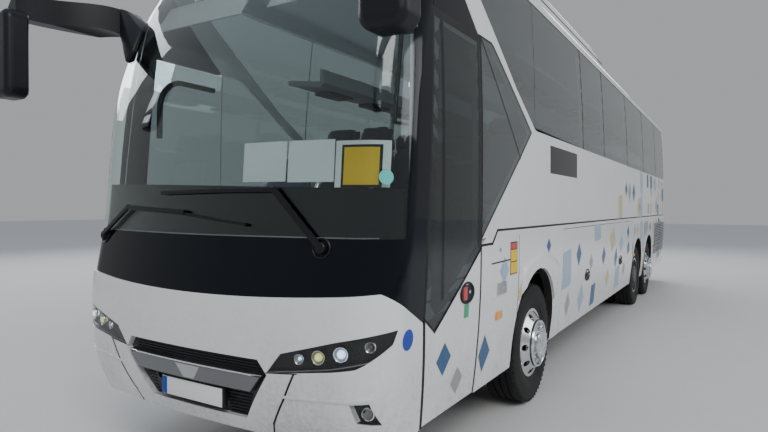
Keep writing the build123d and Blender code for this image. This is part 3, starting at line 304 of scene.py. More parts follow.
PLATE_WHITE = grained("plate_white", (0.78, 0.79, 0.78), (0.85, 0.85, 0.84), 0.35, 500, 0.05)
AMBER = grained("amber_lens", (0.80, 0.28, 0.02), (0.9, 0.34, 0.03), 0.2, 200, 0.2, coat=0.6)
RED_LENS = grained("red_lens", (0.42, 0.01, 0.012), (0.52, 0.015, 0.02), 0.16, 160, 0.25, coat=0.8)
DARK_RED = grained("tail_lamp_bezel", (0.16, 0.006, 0.006), (0.22, 0.01, 0.01), 0.2, 300, 0.02)
WINDSCREEN_GLASS = glassy("windscreen_glass", (0.86, 0.95, 0.94), 1.0, 1.4)
PRIVACY_GLASS = glassy("privacy_glass", (0.36, 0.43, 0.44), 0.97, 1.8)
DOOR_GLASS_FINISH = glassy("door_glass_finish", (0.09, 0.12, 0.125), 0.95, 1.45)
LENS_GLASS = glassy("lamp_lens_glass", (0.97, 0.98, 0.98), 1.0, 1.3)
MIRROR_SILVER = grained("mirror_silver", (0.80, 0.82, 0.84), (0.84, 0.86, 0.88), 0.03, 60, 0.0, metallic=1.0)
SEAT_CLOTH = cloth("seat_cloth", (0.035, 0.055, 0.12), (0.06, 0.085, 0.16))
HEAD_CLOTH = cloth("headrest_cloth", (0.05, 0.06, 0.08), (0.10, 0.11, 0.13))
COOL_LAMP = lamp_finish("cool_projector", (0.62, 0.80, 1.0), 1.6)
WARM_LAMP = lamp_finish("warm_projector", (0.80, 0.80, 0.32), 0.7)

# The slot of a piece that names no other, by its finish
SLOTS = {
    PAINT: "body_paint", BLACK_GLOSS: "black_gloss", BLACK_MOULDING: "black_plastic", LINER_PLASTIC: "black_plastic",
    SATIN_BAR: "wheel_metal", BRIGHT_METAL: "wheel_metal", HUB_CAST: "wheel_metal", ALUMINIUM: "wheel_metal",
    MIRROR_SILVER: "wheel_metal", RUBBER: "tyre_rubber", SEAL: "black_plastic", DASH_PLASTIC: "black_plastic",
    PALE_TRIM: "black_plastic", LENS_GLASS: "lamp_lens", COOL_LAMP: "lamp_lens", WARM_LAMP: "lamp_lens",
    SIGN_RED: "tail_lens", AMBER: "tail_lens", RED_LENS: "tail_lens", DARK_RED: "tail_lens",
    SEAT_CLOTH: "seat_fabric", HEAD_CLOTH: "seat_fabric",
}


# Modelling helpers: each NAME_part adds to a bmesh

def finish_piece(name, bm, material, body="body", slot=None, crease=35, hides=()):
    """Turns a finished bmesh into an object that rides on a body."""
    bmesh.ops.remove_doubles(bm, verts=bm.verts, dist=1e-5)
    bmesh.ops.recalc_face_normals(bm, faces=bm.faces)
    mesh = bpy.data.meshes.new(name)
    bm.to_mesh(mesh)
    bm.free()
    mesh.materials.append(material)
    mesh.shade_smooth()
    mesh.set_sharp_from_angle(angle=math.radians(crease))
    piece = add_object(name, mesh)
    slot = slot or SLOTS.get(material, "body_paint")
    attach(piece, body)
    if hides:
        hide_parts(*hides)
    return piece


def linked(verts, kind):
    """The edges or faces at some vertices, each once and in the same order on every run."""
    return list(dict.fromkeys(item for vert in verts for item in getattr(vert, kind)))


def bevel_part(bm, edges, offset, **more):
    bmesh.ops.bevel(bm, geom=edges, offset=offset, segments=2, profile=0.5, affect="EDGES", material=-1, **more)


def box_part(bm, low, high, bevel=0.0):
    size = [b - a for a, b in zip(low, high)]
    centre = [(a + b) / 2 for a, b in zip(low, high)]
    made = bmesh.ops.create_cube(bm, size=1, matrix=Matrix.Translation(centre) @ Matrix.Diagonal((*size, 1)))
    if bevel:
        bevel_part(bm, linked(made["verts"], "link_edges"), bevel)


def rod_part(bm, start, end, radius, far_radius=None, sides=20):
    start, end = Vector(start), Vector(end)
    along = end - start
    turn = along.to_track_quat("Z", "Y").to_matrix().to_4x4()
    bmesh.ops.create_cone(
        bm, cap_ends=True, segments=sides, radius1=radius, radius2=radius if far_radius is None else far_radius,
        depth=along.length, matrix=Matrix.Translation((start + end) / 2) @ turn,
    )


def turned_part(bm, profile, centre, axis, steps=48):
    """Spins a profile of (distance along the axis, radius) points round the axis."""
    axis, centre = Vector(axis).normalized(), Vector(centre)
    turn = axis.to_track_quat("X", "Z").to_matrix()
    corners = [bm.verts.new(centre + turn @ Vector((u, 0, r))) for u, r in profile]
    edges = [bm.edges.new(pair) for pair in zip(corners, corners[1:])]
    bmesh.ops.spin(
        bm, geom=corners + edges, cent=centre, axis=axis, angle=2 * math.pi, steps=steps, use_merge=True,
        use_duplicate=False,
    )


def oval_part(bm, profile, centre, axis, steps, stretch):
    """A turned part that is longer along the coach; nothing else may be in the bmesh yet."""
    turned_part(bm, profile, centre, axis, steps)
    bmesh.ops.scale(bm, verts=bm.verts, vec=(1, stretch, 1), space=Matrix.Translation(-centre))


def pipe_part(bm, points, radius, sides=14):
    """A bar through the given points, made of rings joined in turn."""
    points = [Vector(p) for p in points]
    rings = []
    for index, point in enumerate(points):
        ahead = points[min(index + 1, len(points) - 1)] - points[max(index - 1, 0)]
        turn = ahead.to_track_quat("Z", "Y").to_matrix().to_4x4()
        ring = bmesh.ops.create_circle(
            bm, cap_ends=index in (0, len(points) - 1), segments=sides, radius=radius,
            matrix=Matrix.Translation(point) @ turn,
        )
        rings.append(linked(ring["verts"], "link_edges"))
    for first, second in zip(rings, rings[1:]):
        bmesh.ops.bridge_loops(bm, edges=first + second)


def rounded_path(points, radius, steps=8):
    """The corners of a path softened into arcs, for rails and tubes."""
    points = [Vector(p) for p in points]
    path = [points[0]]
    for before, corner, after in zip(points, points[1:], points[2:]):
        one = corner + (before - corner).normalized() * radius
        two = corner + (after - corner).normalized() * radius
        for step in range(steps + 1):
            t = step / steps
            path.append(one * (1 - t) ** 2 + corner * 2 * t * (1 - t) + two * t * t)
    return path + [points[-1]]


def draped_part(bm, place, columns, rows, thickness):
    """A grid laid on a surface by place(u, v), then given its thickness."""
    made = bmesh.ops.create_grid(bm, x_segments=columns, y_segments=rows, size=0.5)
    for vert in made["verts"]:
        vert.co = place(vert.co.x + 0.5, vert.co.y + 0.5)
    faces = linked(made["verts"], "link_faces")
    bmesh.ops.recalc_face_normals(bm, faces=faces)
    bmesh.ops.solidify(bm, geom=faces, thickness=thickness)


def plate_part(bm, corners, depth, bevel):
    """A flat plate from its outline, pushed along depth."""
    face = bm.faces.new([bm.verts.new(c) for c in corners])
    made = bmesh.ops.extrude_face_region(bm, geom=[face])
    moved = [g for g in made["geom"] if isinstance(g, bmesh.types.BMVert)]
    bmesh.ops.translate(bm, verts=moved, vec=Vector(depth))
    bevel_part(bm, linked(moved + list(face.verts), "link_edges"), bevel)


def merge_part(bm, part):
    """Moves all of another bmesh into this one."""
    mesh = bpy.data.meshes.new("merged_part")
    part.to_mesh(mesh)
    part.free()
    bm.from_mesh(mesh)
    bpy.data.meshes.remove(mesh)


# Surfaces that trim lies on: each takes two places and a lift

def surface_tree(*names):
    bm = bmesh.new()
    for name in names:
        bm.from_mesh(nodes[name].data)
    tree = BVHTree.FromBMesh(bm)
    bm.free()
    return tree


FRONT_TREE = surface_tree("front_fascia", "windscreen_mask", "windscreen", "front_lamps")
REAR_TREE = surface_tree("rear_wall", "rear_bumper", "engine_hatch", "tail_lamps", "window_glass")
GRILLE_TREE = surface_tree("grille_insert")


def nearest(tree, spot):
    """The nearest point of a surface, and the way that the surface faces there."""
    return tree.find_nearest(Vector(spot))[:2]


def on_front(x, z, lift=0.0, tree=FRONT_TREE):
    """A point of the front at (x, z): where a ray from ahead meets it, or else the nearest one."""
    hit, normal, _, _ = tree.ray_cast(Vector((x, y_at(-1.5), z)), Vector((0, 1, 0)))
    if hit is None or hit.y > y_at(1.2):
        hit, normal = nearest(tree, (x, y_at(0.15), z))
    return hit + normal * lift


def on_grille(x, z, lift=0.0):
    return on_front(x, z, lift, GRILLE_TREE)


def on_rear(x, z, lift=0.0):
    hit, normal, _, _ = REAR_TREE.ray_cast(Vector((x, y_at(15), z)), Vector((0, -1, 0)))
    if hit is None:
        hit, normal = nearest(REAR_TREE, (x, y_at(13.1), z))
    return hit + normal * lift


def on_side(side):
    """The side wall's surface, as a place of (d, z) and a lift."""
    return lambda d, z, lift=0.0: Vector((side * (half_width(z) + lift), y_at(d), z))


def on_flank(side):
    """The front's surface seen from the side, as a place of (d, z) and a lift."""
    def place(d, z, lift=0.0):
        hit, normal, _, _ = FRONT_TREE.ray_cast(Vector((side * 3, y_at(d), z)), Vector((-side, 0, 0)))
        if hit is None or abs(hit.x) < 1:
            hit, normal = nearest(FRONT_TREE, (side * (half_width(z) - 0.01), y_at(d), z))
        return hit + normal * lift
    return place


def line_part(bm, surface, points, width, lift=0.0004, thickness=0.0015, step=0.06):
    """A narrow strip that follows a surface along straight runs between the points."""
    for (a, b), (c, e) in zip(points, points[1:]):
        length = math.hypot(c - a, e - b)
        px, pz = -(e - b) / length, (c - a) / length

        def place(u, v):
            stretch = width / 2 / length
            t = -stretch + u * (1 + 2 * stretch)
            off = (v - 0.5) * width
            return surface(a + (c - a) * t + px * off, b + (e - b) * t + pz * off, lift)

        draped_part(bm, place, max(1, int(length / step)), 1, thickness)


def quad_place(surface, corners, lift):
    """Places a unit square on a surface inside four corners, given in turn round the edge."""
    def place(u, v):
        (a, b), (c, d), (e, f), (g, h) = corners
        x = (a * (1 - u) + c * u) * (1 - v) + (g * (1 - u) + e * u) * v
        z = (b * (1 - u) + d * u) * (1 - v) + (h * (1 - u) + f * u) * v
        return surface(x, z, lift)
    return place


def oblong(left, low, right, high):
    return [(left, low), (right, low), (right, high), (left, high)]


def between_rows(table, u):
    """What a table of rows holds at share u of the way down it, read between its rows."""
    spot = min(u * (len(table) - 1), len(table) - 1.0001)
    share = spot - int(spot)
    return [a + (b - a) * share for a, b in zip(table[int(spot)], table[int(spot) + 1])]


def both_sides(runs):
    """Runs on the left of the front, then the same ones on its right."""
    return [([(side * x, z) for x, z in points], *sizes) for side in (1, -1) for points, *sizes in runs]


# Whole pieces of one kind of part

def strips(name, material, surface, runs, **more):
    """Strips on a surface; a run holds its points, then what line_part takes after them."""
    bm = bmesh.new()
    for points, *sizes in runs:
        line_part(bm, surface, points, *sizes)
    finish_piece(name, bm, material, **more)


def sheet(name, material, surface, corners, lift, columns, rows, thickness, **more):
    bm = bmesh.new()
    draped_part(bm, quad_place(surface, corners, lift), columns, rows, thickness)
    finish_piece(name, bm, material, **more)


def blocks(name, material, boxes, **more):
    """Boxes with softened edges; each is its low corner, its high corner and the bevel."""
    bm = bmesh.new()
    for low, high, bevel in boxes:
        box_part(bm, low, high, bevel)
    finish_piece(name, bm, material, **more)


# CAD pieces that stay, each with its finish

CAD_FINISHES = (
    (PAINT, "front_fascia side_walls roof roof_fairing rear_wall rear_bumper door_leaf engine_hatch"),
    (PAINT, "flap_left_1 flap_left_2 flap_right_1 flap_right_2"), (BLACK_GLOSS, "windscreen_mask"),
    (WINDSCREEN_GLASS, "windscreen"), (PRIVACY_GLASS, "window_glass"), (DOOR_GLASS_FINISH, "door_glass"),
    (GRILLE_GREY, "grille_insert"), (BLACK_MOULDING, "mirrors"), (LINER_PLASTIC, "wheel_arches"),
    (DASH_PLASTIC, "dashboard"), (PALE_TRIM, "luggage_racks"), (LEATHER, "steering_wheel"), (FLOORING, "floor_deck"),
    (FRAME_PAINT, "chassis_frame axle_beams knuckle_left knuckle_right"), (IRON, "engine_block"),
    (ALUMINIUM, "door_arm"), (RED_LENS, "tail_lamps"),
    (WHEEL_METAL, "rim_front_left rim_front_right rim_drive_left rim_drive_right rim_tag_left rim_tag_right"),
)


def dress_cad_nodes():
    for material, names in CAD_FINISHES:
        for name in names.split():
            mesh = nodes[name].data
            mesh.materials.clear()
            mesh.materials.append(material)


# Wheels

# A tyre's section from its bead to the tread's edge: distance from the middle plane, and radius
TREAD_RADIUS = 0.519
TYRE_SECTION = (
    (-0.1145, 0.288), (-0.1145, 0.30), (-0.122, 0.306), (-0.136, 0.345), (-0.1385, 0.35), (-0.1405, 0.355),
    (-0.1455, 0.395), (-0.1465, 0.41), (-0.1445, 0.45), (-0.1425, 0.462), (-0.1435, 0.468), (-0.1365, 0.497),
    (-0.127, 0.511), (-0.115, TREAD_RADIUS),
)
GROOVES = (-0.062, 0.0, 0.062)
GROOVE_RADIUS = 0.506
LUG_ROWS = 60
# Lugs of one row: middle, half width, half length, inner radius, outer radius, bevel
LUGS = (
    (-0.128, 0.010, 0.009, 0.498, 0.5135, 0.002), (0.128, 0.010, 0.009, 0.498, 0.5135, 0.002),
    (-0.031, 0.024, 0.016, 0.512, 0.5205, 0.001), (0.031, 0.024, 0.016, 0.512, 0.5205, 0.001),
)


def build_tyre(name, body, places, hides):
    """Tyres with moulded sidewalls, ribs and four grooved tread bands."""
    profile = list(TYRE_SECTION)
    for groove in GROOVES:
        profile += [(groove - 0.008, TREAD_RADIUS), (groove - 0.005, GROOVE_RADIUS),
                    (groove + 0.005, GROOVE_RADIUS), (groove + 0.008, TREAD_RADIUS)]
    profile += [(-u, r) for u, r in reversed(TYRE_SECTION)]
    bm = bmesh.new()
    for x, d in places:
        centre = (x, y_at(d), WHEEL_HEIGHT)
        turned_part(bm, profile, centre, (1, 0, 0), 64)
        lugs = bmesh.new()
        for middle, wide, long, inner, outer, bevel in LUGS:
            box_part(lugs, (x + middle - wide, y_at(d) - long, WHEEL_HEIGHT + inner),
                     (x + middle + wide, y_at(d) + long, WHEEL_HEIGHT + outer), bevel)
        for step in range(LUG_ROWS):
            row = lugs.copy()
            turn = Matrix.Rotation(step * math.tau / LUG_ROWS, 3, "X")
            bmesh.ops.rotate(row, verts=row.verts, cent=centre, matrix=turn)
            merge_part(bm, row)
        lugs.free()
    finish_piece(name, bm, RUBBER, body, crease=30, hides=hides)


NUTS, NUT_CIRCLE, HUB_BOLT_CIRCLE, VALVE_CIRCLE = 10, 0.1675, 0.113, 0.268
# Steps of a wheel nut: start and end ahead of the face, their radii, and how many sides
NUT_STEPS = ((-0.001, 0.006, 0.0235, 0.022, 18), (0.005, 0.032, 0.0185, 0.0165, 6), (0.031, 0.044, 0.0115, 0.0095, 12))
NUT_RING = (
    (-0.001, 0.137), (-0.001, 0.207), (0.018, 0.206), (0.029, 0.200), (0.032, 0.190), (0.026, 0.183), (0.008, 0.180),
    (0.006, 0.152), (0.020, 0.148), (0.022, 0.141), (0.018, 0.137), (-0.001, 0.137),
)
HUB_CAP = (
    (-0.028, NEAR_ZERO), (-0.028, 0.1355), (-0.004, 0.1355), (0.002, 0.130), (0.003, 0.098), (0.010, 0.092),
    (0.012, 0.060), (0.008, 0.052), (0.008, NEAR_ZERO),
)


def build_wheel_trim(name, body, side, d, face, hub_reach, single):
    """Wheel nuts on their ring, the hub's turned cap with its bolts, and the valve."""
    y, z = y_at(d), WHEEL_HEIGHT

    def around(count, radius, offset):
        for step in range(count):
            angle = step * math.tau / count + offset
            yield y + radius * math.cos(angle), z + radius * math.sin(angle)

    bm = bmesh.new()
    for spot in around(NUTS, NUT_CIRCLE, math.pi / 10):
        for start, end, near, far, sides in NUT_STEPS:
            rod_part(bm, (side * (face + start), *spot), (side * (face + end), *spot), near, far, sides)
    if single:
        turned_part(bm, NUT_RING, (side * face, y, z), (side, 0, 0), 56)
    finish_piece(name + "_nuts", bm, BRIGHT_METAL, body, crease=25)
    bm = bmesh.new()
    turned_part(bm, [(hub_reach + u, r) for u, r in HUB_CAP], (0, y, z), (side, 0, 0), 48)
    for spot in around(NUTS, HUB_BOLT_CIRCLE, 0.0):
        rod_part(bm, (side * (hub_reach - 0.001), *spot), (side * (hub_reach + 0.011), *spot), 0.0095, 0.009, 6)
    finish_piece(name + "_hub_cap", bm, BRIGHT_METAL if single else HUB_CAST, body, crease=30)
    bm = bmesh.new()
    bends = ((0.06, 0.0), (0.03, 0.008), (0.005, 0.014))
    pipe_part(bm, [(side * (face - u), y + VALVE_CIRCLE - v, z) for u, v in bends], 0.004, 8)
    finish_piece(name + "_valve", bm, BRIGHT_METAL, body)


def build_wheels():
    for place, d in AXLES.items():
        twin = place == "drive"
        face, hub_reach = (WHEEL_X - 0.175 + 0.014, 1.218) if twin else (1.265, 1.318)
        for side, word in SIDES:
            end = f"{place}_{word}"
            spots = [(side * x, d) for x in (WHEEL_X, TWIN_X)[:1 + twin]]
            build_tyre(f"tyre_tread_{end}", f"wheel_{end}", spots, (f"tyre_{end}",))
            build_wheel_trim(f"wheel_{end}", f"wheel_{end}", side, d, face, hub_reach, not twin)


# Front end

# The line between a lamp's lens and its painted end: x, d, z
LAMP_TAIL = ((1.262, 0.337, 1.100), (1.243, 0.292, 1.005), (1.135, 0.172, 0.912), (1.060, 0.125, 0.873))
# The tail line cuts only above the first of these heights; the second parts the headlamps from the fog lamps
LAMP_TAIL_Z, LAMP_SPLIT_Z = 0.8, 0.76
BOWL_DEPTH = 0.036
# Units of a headlamp: x, z, radius, kind, and the projector's size
LAMP_UNITS = (
    (0.805, 0.918, 0.030, "cool", 0.6), (0.919, 0.938, 0.040, "warm", 1.0), (1.048, 0.966, 0.042, "cool", 1.0),
    (1.178, 1.005, 0.030, "dark", 0.6),
)
# Profiles with their radii as shares of the lamp's radius
UNIT_RING = ((0.0, 1.0), (0.012, 1.0), (0.016, 0.94), (0.014, 0.86), (0.004, 0.8), (0.0, 0.8))
UNIT_REFLECTOR = ((0.010, 0.86), (0.0, 0.6), (-0.004, 0.3))
TAIL_RING = ((0.0, 1.0), (0.004, 1.0), (0.006, 0.93), (0.002, 0.86), (0.0, 0.86))
TAIL_CENTRE = ((0.0, 0.45), (0.004, 0.45), (0.005, 0.38), (0.0, 0.34))
FOG_RING = ((0.0, 0.036), (0.012, 0.036), (0.014, 0.030), (0.0, 0.028))
FOG_REFLECTOR = ((0.010, 0.030), (0.006, 0.02), (0.004, NEAR_ZERO))


def scaled(profile, radius):
    return [(u, radius * share) for u, share in profile]


def lamp_skin(lift, wanted):
    """The CAD lamps' outer skin moved by lift: the lens side of the tail line, or the body side of it."""
    bm = bmesh.new()
    bm.from_mesh(nodes["front_lamps"].data)
    bmesh.ops.remove_doubles(bm, verts=bm.verts, dist=1e-4)
    bm.normal_update()
    inner = []
    for face in bm.faces:
        x = face.calc_center_median().x
        if face.normal.y > -0.05 and not face.normal.x * x > 0.85 * abs(x):
            inner.append(face)
    bmesh.ops.delete(bm, geom=inner, context="FACES")
    cuts = []
    for side in (1, -1):
        facing = Vector((side * 0.8, -0.6, 0))
        points = [Vector((side * x, y_at(d), z)) for x, d, z in LAMP_TAIL]
        for start, end in zip(points, points[1:]):
            outward = (end - start).cross(facing).normalized() * -side
            cuts.append((side, start, outward))
            geometry = bm.verts[:] + bm.edges[:] + bm.faces[:]
            bmesh.ops.bisect_plane(bm, geom=geometry, dist=1e-5, plane_co=start, plane_no=outward)
    drop = []
    for face in bm.faces:
        spot = face.calc_center_median()
        beyond = spot.z > LAMP_TAIL_Z and any(
            side * spot.x > 0 and (spot - point).dot(outward) > 0 for side, point, outward in cuts
        )
        if beyond == (wanted == "lens"):
            drop.append(face)
    bmesh.ops.delete(bm, geom=drop, context="FACES")
    bm.normal_update()
    for vert in bm.verts:
        vert.co += vert.normal * lift
    return bm


def lamp_of(vert):
    """Which of the four lamps a vertex belongs to."""
    return vert.co.x > 0, vert.co.z > LAMP_SPLIT_Z


def bowls_from(skin):
    """Dark trays behind a skin: an outer and an inner shell, joined round their rims."""
    skin.verts.index_update()
    lamps = {}
    for vert in skin.verts:
        lamps.setdefault(lamp_of(vert), []).append(vert.co)
    middles = {lamp: sum(spots, Vector()) / len(spots) for lamp, spots in lamps.items()}
    bowl = bmesh.new()

    def layer(narrow, low, back):
        made = []
        for vert in skin.verts:
            middle = middles[lamp_of(vert)]
            away = vert.co - middle
            made.append(bowl.verts.new(middle + Vector((away.x * narrow, away.y + back, away.z * low))))
        return made

    outer, outer_back = layer(0.992, 0.980, 0.0), layer(0.992, 0.980, BOWL_DEPTH)
    inner, inner_back = layer(0.986, 0.960, 0.0), layer(0.986, 0.960, BOWL_DEPTH - 0.002)
    for face in skin.faces:
        order = [v.index for v in face.verts]
        bowl.faces.new([inner_back[i] for i in order])
        bowl.faces.new([outer_back[i] for i in reversed(order)])
    for edge in skin.edges:
        if len(edge.link_faces) == 1:
            a, b = (v.index for v in edge.verts)
            for one, other in ((outer, outer_back), (outer, inner), (inner, inner_back)):
                bowl.faces.new([one[a], one[b], other[b], other[a]])
    bmesh.ops.delete(bowl, geom=[v for v in bowl.verts if not v.link_faces], context="VERTS")
    skin.free()
    return bowl


def build_lamps():
    for name, lift, wanted, material, hides in (
        ("lamp_lenses", -0.0005, "lens", LENS_GLASS, ("front_lamps",)), ("lamp_end_panels", 0.0, "panel", PAINT, ()),
    ):
        bm = lamp_skin(lift, wanted)
        bmesh.ops.solidify(bm, geom=list(bm.faces), thickness=0.003)
        finish_piece(name, bm, material, hides=hides)
    finish_piece("lamp_bowls", bowls_from(lamp_skin(-0.005, "lens")), BLACK_GLOSS)
    rings, reflectors, cool, warm = (bmesh.new() for _ in range(4))
    for side in (1, -1):
        out = Vector((side * 0.28, -1, 0)).normalized()
        for x, z, radius, kind, size in LAMP_UNITS:
            front = on_front(side * x, z) + Vector((0, 0.034, 0)) + out * 0.012
            turned_part(rings, scaled(UNIT_RING, radius), front, out, 32)
            turned_part(reflectors, scaled(UNIT_REFLECTOR, radius) + [(-0.004, NEAR_ZERO)], front, out, 28)
            bmesh.ops.create_uvsphere(
                {"cool": cool, "warm": warm, "dark": reflectors}[kind], u_segments=20, v_segments=12,
                radius=radius * 0.55 * size, matrix=Matrix.Translation(front + out * 0.001),
            )
        seat = on_front(side * 1.145, 0.645) + Vector((0, 0.036, 0))
        out = Vector((side * 0.3, -1, 0)).normalized()
        turned_part(rings, FOG_RING, seat, out, 28)
        turned_part(reflectors, FOG_REFLECTOR, seat, out, 28)
    finish_piece("lamp_rings", rings, BRIGHT_METAL)
    finish_piece("lamp_reflectors", reflectors, SATIN_BAR)
    finish_piece("lamp_cool_projectors", cool, COOL_LAMP)
    finish_piece("lamp_warm_projectors", warm, WARM_LAMP)
    strip = ([(0.62, 0.825), (0.80, 0.853), (1.0, 0.885), (1.18, 0.925)], 0.006, -0.004, 0.002, 0.03)
    strips("lamp_bright_strips", SATIN_BAR, on_front, both_sides([strip]))


def disc(name, material, spot, radius, low, high, steps):
    """A thin disc on the front, from low to high off its surface."""
    bm = bmesh.new()
    profile = [(low, NEAR_ZERO), (low, radius), (high, radius), (high + 0.0002, NEAR_ZERO)]
    turned_part(bm, profile, *nearest(FRONT_TREE, spot), steps)
    finish_piece(name, bm, material)


def build_front_trim():
    strips("front_seams", SEAL, on_front, both_sides([
        ([(0.78, 0.832), (0.70, 0.68), (0.60, 0.52), (0.575, 0.44)], 0.011),
        ([(0.60, 0.818), (0.70, 0.828), (0.80, 0.838)], 0.005),
    ]))
    half_foot = [(0.4, 1.553), (0.8, 1.5545), (1.18, 1.556)]
    foot = [(-x, z) for x, z in reversed(half_foot)] + [(0.0, 1.552)] + half_foot
    strips("windscreen_foot_strip", SATIN_BAR, on_front, [(foot, 0.007)])
    fold = ([(0.70, 0.700), (0.95, 0.716), (1.17, 0.728)], 0.014, 0.0, 0.006, 0.02)
    strips("bumper_creases", PAINT, on_front, both_sides([fold]), crease=20)


def build_grille():
    """The grille's bar with its bright edge and pale centre, the mesh rows, and the plate with its holder."""
    edge = [(x, 0.7935) for x in (-0.563, -0.3, 0.0, 0.3, 0.563)]
    strips("grille_bar_edge", BRIGHT_METAL, on_grille, [(edge, 0.009, 0.0, 0.003)])
    face = [(-0.478, 0.695), (0.478, 0.695), (0.556, 0.786), (-0.556, 0.786)]
    sheet("grille_bar_face", SATIN_BAR, on_grille, face, 0.0006, 24, 2, 0.002, slot="grille_grey")
    centre = [(-0.045, 0.702), (0.045, 0.702), (0.105, 0.782), (-0.105, 0.782)]
    sheet("grille_bar_centre", ALUMINIUM, on_grille, centre, 0.0026, 6, 3, 0.002)
    rows = []
    for row in range(4):
        z = 0.822 + row * 0.016
        end = 0.555 - (z - 0.80) * 0.75
        rows.append([(-end, z), (0.0, z), (end, z)])
    for row in range(7):
        z = 0.535 + row * 0.021
        end = 0.39 + (z - 0.52) * 0.45
        rows += [[(low, z), (high, z)] for low, high in ((-end, -0.375), (-0.29, -0.265), (0.27, end))]
    strips("grille_mesh_rows", BLACK_MOULDING, on_grille, [(points, 0.006, 0.004, 0.006) for points in rows])
    back = on_grille(0.0, 0.674).y
    for name, material, low, high, bevel in (
        ("plate_holder", BLACK_MOULDING, (-0.275, back - 0.026, 0.556), (0.275, back + 0.004, 0.680), 0.006),
        ("front_plate", PLATE_WHITE, (-0.26, back - 0.031, 0.564), (0.26, back - 0.0262, 0.672), 0.0018),
        ("front_plate_band", BADGE_BLUE, (-0.258, back - 0.0316, 0.566), (-0.215, back - 0.0308, 0.670), 0.0002),
    ):
        blocks(name, material, [(low, high, bevel)])
    disc("side_disc", BADGE_BLUE, (1.262, y_at(0.419), 1.006), 0.058, -0.001, 0.0012, 40)


# Windscreen

# The black border at either end: height, and its start and end behind the nose
SCREEN_BORDER = (
    (1.552, 0.404, 0.4545), (1.77, 0.426, 0.476), (2.30, 0.476, 0.534), (2.86, 0.546, 0.597), (3.48, 0.615, 0.6575),
)
# The top of the dark band along the foot: x, z
SCREEN_FOOT = (
    (-1.22, 1.874), (-0.857, 1.866), (-0.15, 1.850), (0.31, 1.838), (0.72, 1.828), (1.02, 1.822), (1.225, 1.818),
)
SCREEN_FOOT_Z = 1.500
BEHIND_GLASS = -0.024


def build_screen_border():
    bm = bmesh.new()
    for side in (1, -1):
        flank = on_flank(side)

        def place(u, v):
            z, start, end = between_rows(SCREEN_BORDER, u)
            return flank(start + (end - start) * v, z, 0.0006)

        draped_part(bm, place, 40, 3, 0.0006)
    finish_piece("windscreen_border", bm, BLACK_GLOSS)


def build_screen_foot():
    """The dark printed band along the foot of the windscreen, up to the line that the photograph shows."""
    def middle(u, v):
        x, top = between_rows(SCREEN_FOOT, u)
        return on_front(x, SCREEN_FOOT_Z + (top - SCREEN_FOOT_Z) * v, BEHIND_GLASS - 0.002)

    bm = bmesh.new()
    draped_part(bm, middle, 48, 6, 0.001)
    for side, top in ((-1, SCREEN_FOOT[0][1]), (1, SCREEN_FOOT[-1][1])):
        flank = on_flank(side)

        def corner(u, v):
            z = SCREEN_FOOT_Z + (top - SCREEN_FOOT_Z) * v
            start = 0.291 + (z - SCREEN_FOOT_Z) * 0.12
            return flank(start + (0.435 - start) * u, z, BEHIND_GLASS - 0.002)

        draped_part(bm, corner, 8, 6, 0.001)
    finish_piece("windscreen_foot_band", bm, BLACK_GLOSS)


def build_cards():
    for name, material, corners, lift in (
        ("card_left", WHITE_CARD, oblong(0.33, 1.86, 0.628, 2.085), 0.0),
        ("card_middle", WHITE_CARD, oblong(0.640, 1.855, 0.925, 2.085), 0.0),
        ("card_right", WHITE_CARD, oblong(0.932, 1.825, 1.215, 2.075), 0.0),
        ("card_right_border", BLACK_MOULDING, oblong(0.968, 1.825, 1.182, 2.052), 0.002),
        ("card_right_centre", YELLOW_CARD, oblong(0.982, 1.838, 1.168, 2.038), 0.004),
    ):
        sheet(name, material, on_front, corners, BEHIND_GLASS + lift, 6, 4, 0.0012, slot="body_paint")
    disc("screen_disc", TURQUOISE, on_front(1.195, 1.877), 0.04, -0.0002, 0.001, 32)


# Wiper arms and blades: points, width, lift, thickness, and whether it is a blade
WIPER_RUNS = (
    ([(0.897, 1.500), (0.590, 1.806)], 0.034, 0.016, 0.016, False),
    ([(-0.320, 1.798), (0.150, 1.806), (0.590, 1.810)], 0.020, 0.011, 0.014, True),
    ([(-1.025, 1.512), (-0.700, 1.706), (-0.100, 1.680)], 0.028, 0.016, 0.016, False),
    ([(-0.450, 1.702), (0.0, 1.660), (0.400, 1.615)], 0.018, 0.011, 0.012, True),
)
WIPER_PIVOTS = ((0.897, 1.500), (-1.025, 1.512))
PIVOT_RING = ((0.0, 0.056), (0.006, 0.056), (0.010, 0.050), (0.006, 0.044), (0.0, 0.044))
PIVOT_CAP = ((0.0, 0.032), (0.026, 0.030), (0.030, 0.024), (0.030, NEAR_ZERO))
PIVOT_NUT = ((0.029, 0.012), (0.033, 0.011), (0.033, NEAR_ZERO))


def build_wipers():
    seats = [nearest(FRONT_TREE, on_front(*pivot)) for pivot in WIPER_PIVOTS]
    gear, rubbers = bmesh.new(), bmesh.new()
    for points, width, lift, thickness, blade in WIPER_RUNS:
        line_part(gear, on_front, points, width, lift + thickness, thickness, 0.05)
        if blade:
            line_part(rubbers, on_front, points, 0.005, 0.011, 0.010, 0.05)
    for seat in seats:
        turned_part(gear, PIVOT_RING, *seat, 40)
        turned_part(gear, PIVOT_CAP, *seat, 32)
        turned_part(rubbers, PIVOT_NUT, *seat, 6)
    finish_piece("wiper_gear", gear, BLACK_MOULDING, crease=30, hides=("wipers",))
    finish_piece("wiper_rubbers", rubbers, SEAL)


# Mirrors

